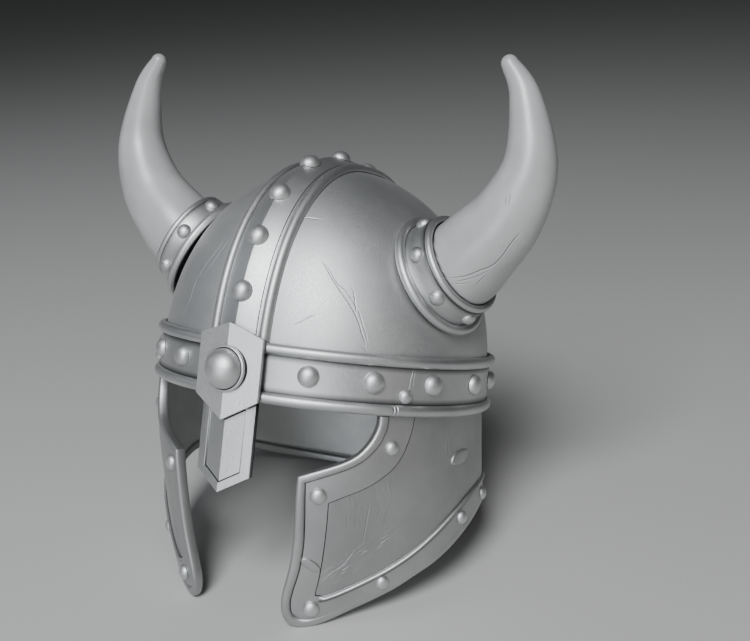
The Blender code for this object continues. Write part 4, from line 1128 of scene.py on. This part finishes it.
def collarSection(turn):
    # the flange's bead stands clear of the bowl, and the skirt under it is set back out of sight
    c = collar
    flange = beadArc((c["flangeRing"], 0.0), c["flangeBead"], *c["flangeDegrees"], c["flangePoints"])
    wall = [(c["wall"] + 0.9, 2.6), (c["wall"] + 0.35, 4.6), (c["wall"], 8.0), (c["wall"], 12.5),
            (c["wall"] - 0.1, c["rootRise"] - 2.6)]
    root = beadArc((c["rootRing"], c["rootRise"]), c["rootBead"], *c["rootDegrees"], c["rootPoints"])
    inner = (c["hole"] + 1.0, bowlRise(turn, c["hole"] + 1.0) + 0.2)
    outer = (c["skirt"], bowlRise(turn, c["skirt"]) + 0.2)
    section = flange + wall + root + [(c["hole"], c["holeRise"]), inner, outer]
    # painted shade where the flange meets the bowl, in the creases beside the beads, and on the hidden
    # skirt
    flangeShade = [1.0, 1.0, 0.5] + [0.0] * (len(flange) - 4) + [0.35]
    wallShade = [0.0] * (len(wall) - 1) + [0.4]
    rootShade = [0.9] + [0.0] * (len(root) - 3) + [0.4, 1.0]
    points = [collarPoint(turn, radius, rise) for radius, rise in section]
    return points, flangeShade + wallShade + rootShade + [1.0] * 3


def makeCollar(name, side, node):
    c = collar
    bm = bmesh.new()
    turns = [2 * pi * i / c["stations"] for i in range(c["stations"])]
    sections, shades = zip(*[collarSection(turn) for turn in turns])
    loftRings(bm, list(sections), True, list(shades))
    for i in range(c["rivets"]):
        turn = 2 * pi * i / c["rivets"] + radians(c["rivetPhase"])
        base = collarPoint(turn, c["wall"], c["rivetRise"])
        outward = base - c["centre"] - c["axis"] * c["rivetRise"]
        base -= outward.normalized() * c["rivetSink"]
        addRivet(bm, c["rivet"], base, outward, c["axis"], sink=1.6)
    closeHoles(bm)
    bmesh.ops.scale(bm, vec=(side, 1, 1), verts=bm.verts)
    finishPiece(name, bm, [plainIron], [node], sharpDegrees=42)


leftHorn = greyHorn("scrapedGreyHornCracked", horn["marks"])
makeHorn("hornLeftSolid", 1, "horn_left", leftHorn, horn["marks"])
makeHorn("hornRightSolid", -1, "horn_right", greyHorn("scrapedGreyHorn"), ())
makeCollar("hornCollarLeftRing", 1, "horn_collar_left")
makeCollar("hornCollarRightRing", -1, "horn_collar_right")
print("horns and collars made")

# Floor, light and camera

studio = {
    "floor": "#b8b8b6", "floorRoughness": 0.9, "floorSize": 15.0,
    "world": "#c9cccf", "worldStrength": 0.08, "aim": (0.0, 0.0, 0.16),
    # name, place in metres, size in metres, watts, colour
    "lamps": [
        ("keyLamp", (0.40, -1.62, 1.92), 1.1, 74.0, "#fbfcff"),
        ("lowFrontFill", (0.15, -2.3, 0.5), 0.9, 13.0, "#f4f8ff"),
        ("warmFill", (2.2, -0.9, 0.7), 1.2, 1.5, "#ffe6d8"),
        ("leftFill", (-2.2, -0.6, 1.2), 1.4, 3.0, "#eef5ff"),
    ],
}
photoCamera = {
    "place": (0.36, -0.567465, 0.409106),
    "turnDegrees": (69.5767, 2.9854, 27.9536),
    "lens": 49.085, "sensorWidth": 36.0,
}


def makeStudio():
    bm = bmesh.new()
    bmesh.ops.create_grid(bm, x_segments=1, y_segments=1, size=studio["floorSize"])
    mesh = bpy.data.meshes.new("studioFloor")
    bm.to_mesh(mesh)
    bm.free()
    paper = bpy.data.materials.new("matteStudioPaper")  # seamless paper, with no gloss
    paper.use_nodes = True
    shader = paper.node_tree.nodes["Principled BSDF"]
    shader.inputs["Base Color"].default_value = linearColour(studio["floor"])
    shader.inputs["Roughness"].default_value = studio["floorRoughness"]
    mesh.materials.append(paper)
    floor = bpy.data.objects.new("studioFloor", mesh)
    bpy.context.scene.collection.objects.link(floor)
    world = bpy.data.worlds.new("softStudio")
    world.use_nodes = True
    sky = world.node_tree.nodes["Background"]
    sky.inputs["Color"].default_value = linearColour(studio["world"])
    sky.inputs["Strength"].default_value = studio["worldStrength"]
    bpy.context.scene.world = world
    for name, place, size, watts, colour in studio["lamps"]:
        light = bpy.data.lights.new(name, "AREA")
        light.shape = "DISK"
        light.size = size
        light.energy = watts
        light.color = linearColour(colour)[:3]
        lamp = bpy.data.objects.new(name, light)
        lamp.location = place
        heading = Vector(studio["aim"]) - Vector(place)
        lamp.rotation_euler = heading.to_track_quat("-Z", "Y").to_euler()
        bpy.context.scene.collection.objects.link(lamp)
    lens = bpy.data.cameras.new("photoCamera")
    lens.lens = photoCamera["lens"]
    lens.sensor_width = photoCamera["sensorWidth"]
    lens.sensor_fit = "HORIZONTAL"
    lens.clip_start = 0.01
    camera = bpy.data.objects.new("photoCamera", lens)
    camera.location = photoCamera["place"]
    camera.rotation_euler = [radians(angle) for angle in photoCamera["turnDegrees"]]
    bpy.context.scene.collection.objects.link(camera)
    bpy.context.scene.camera = camera


makeStudio()
print("floor, light and camera set")
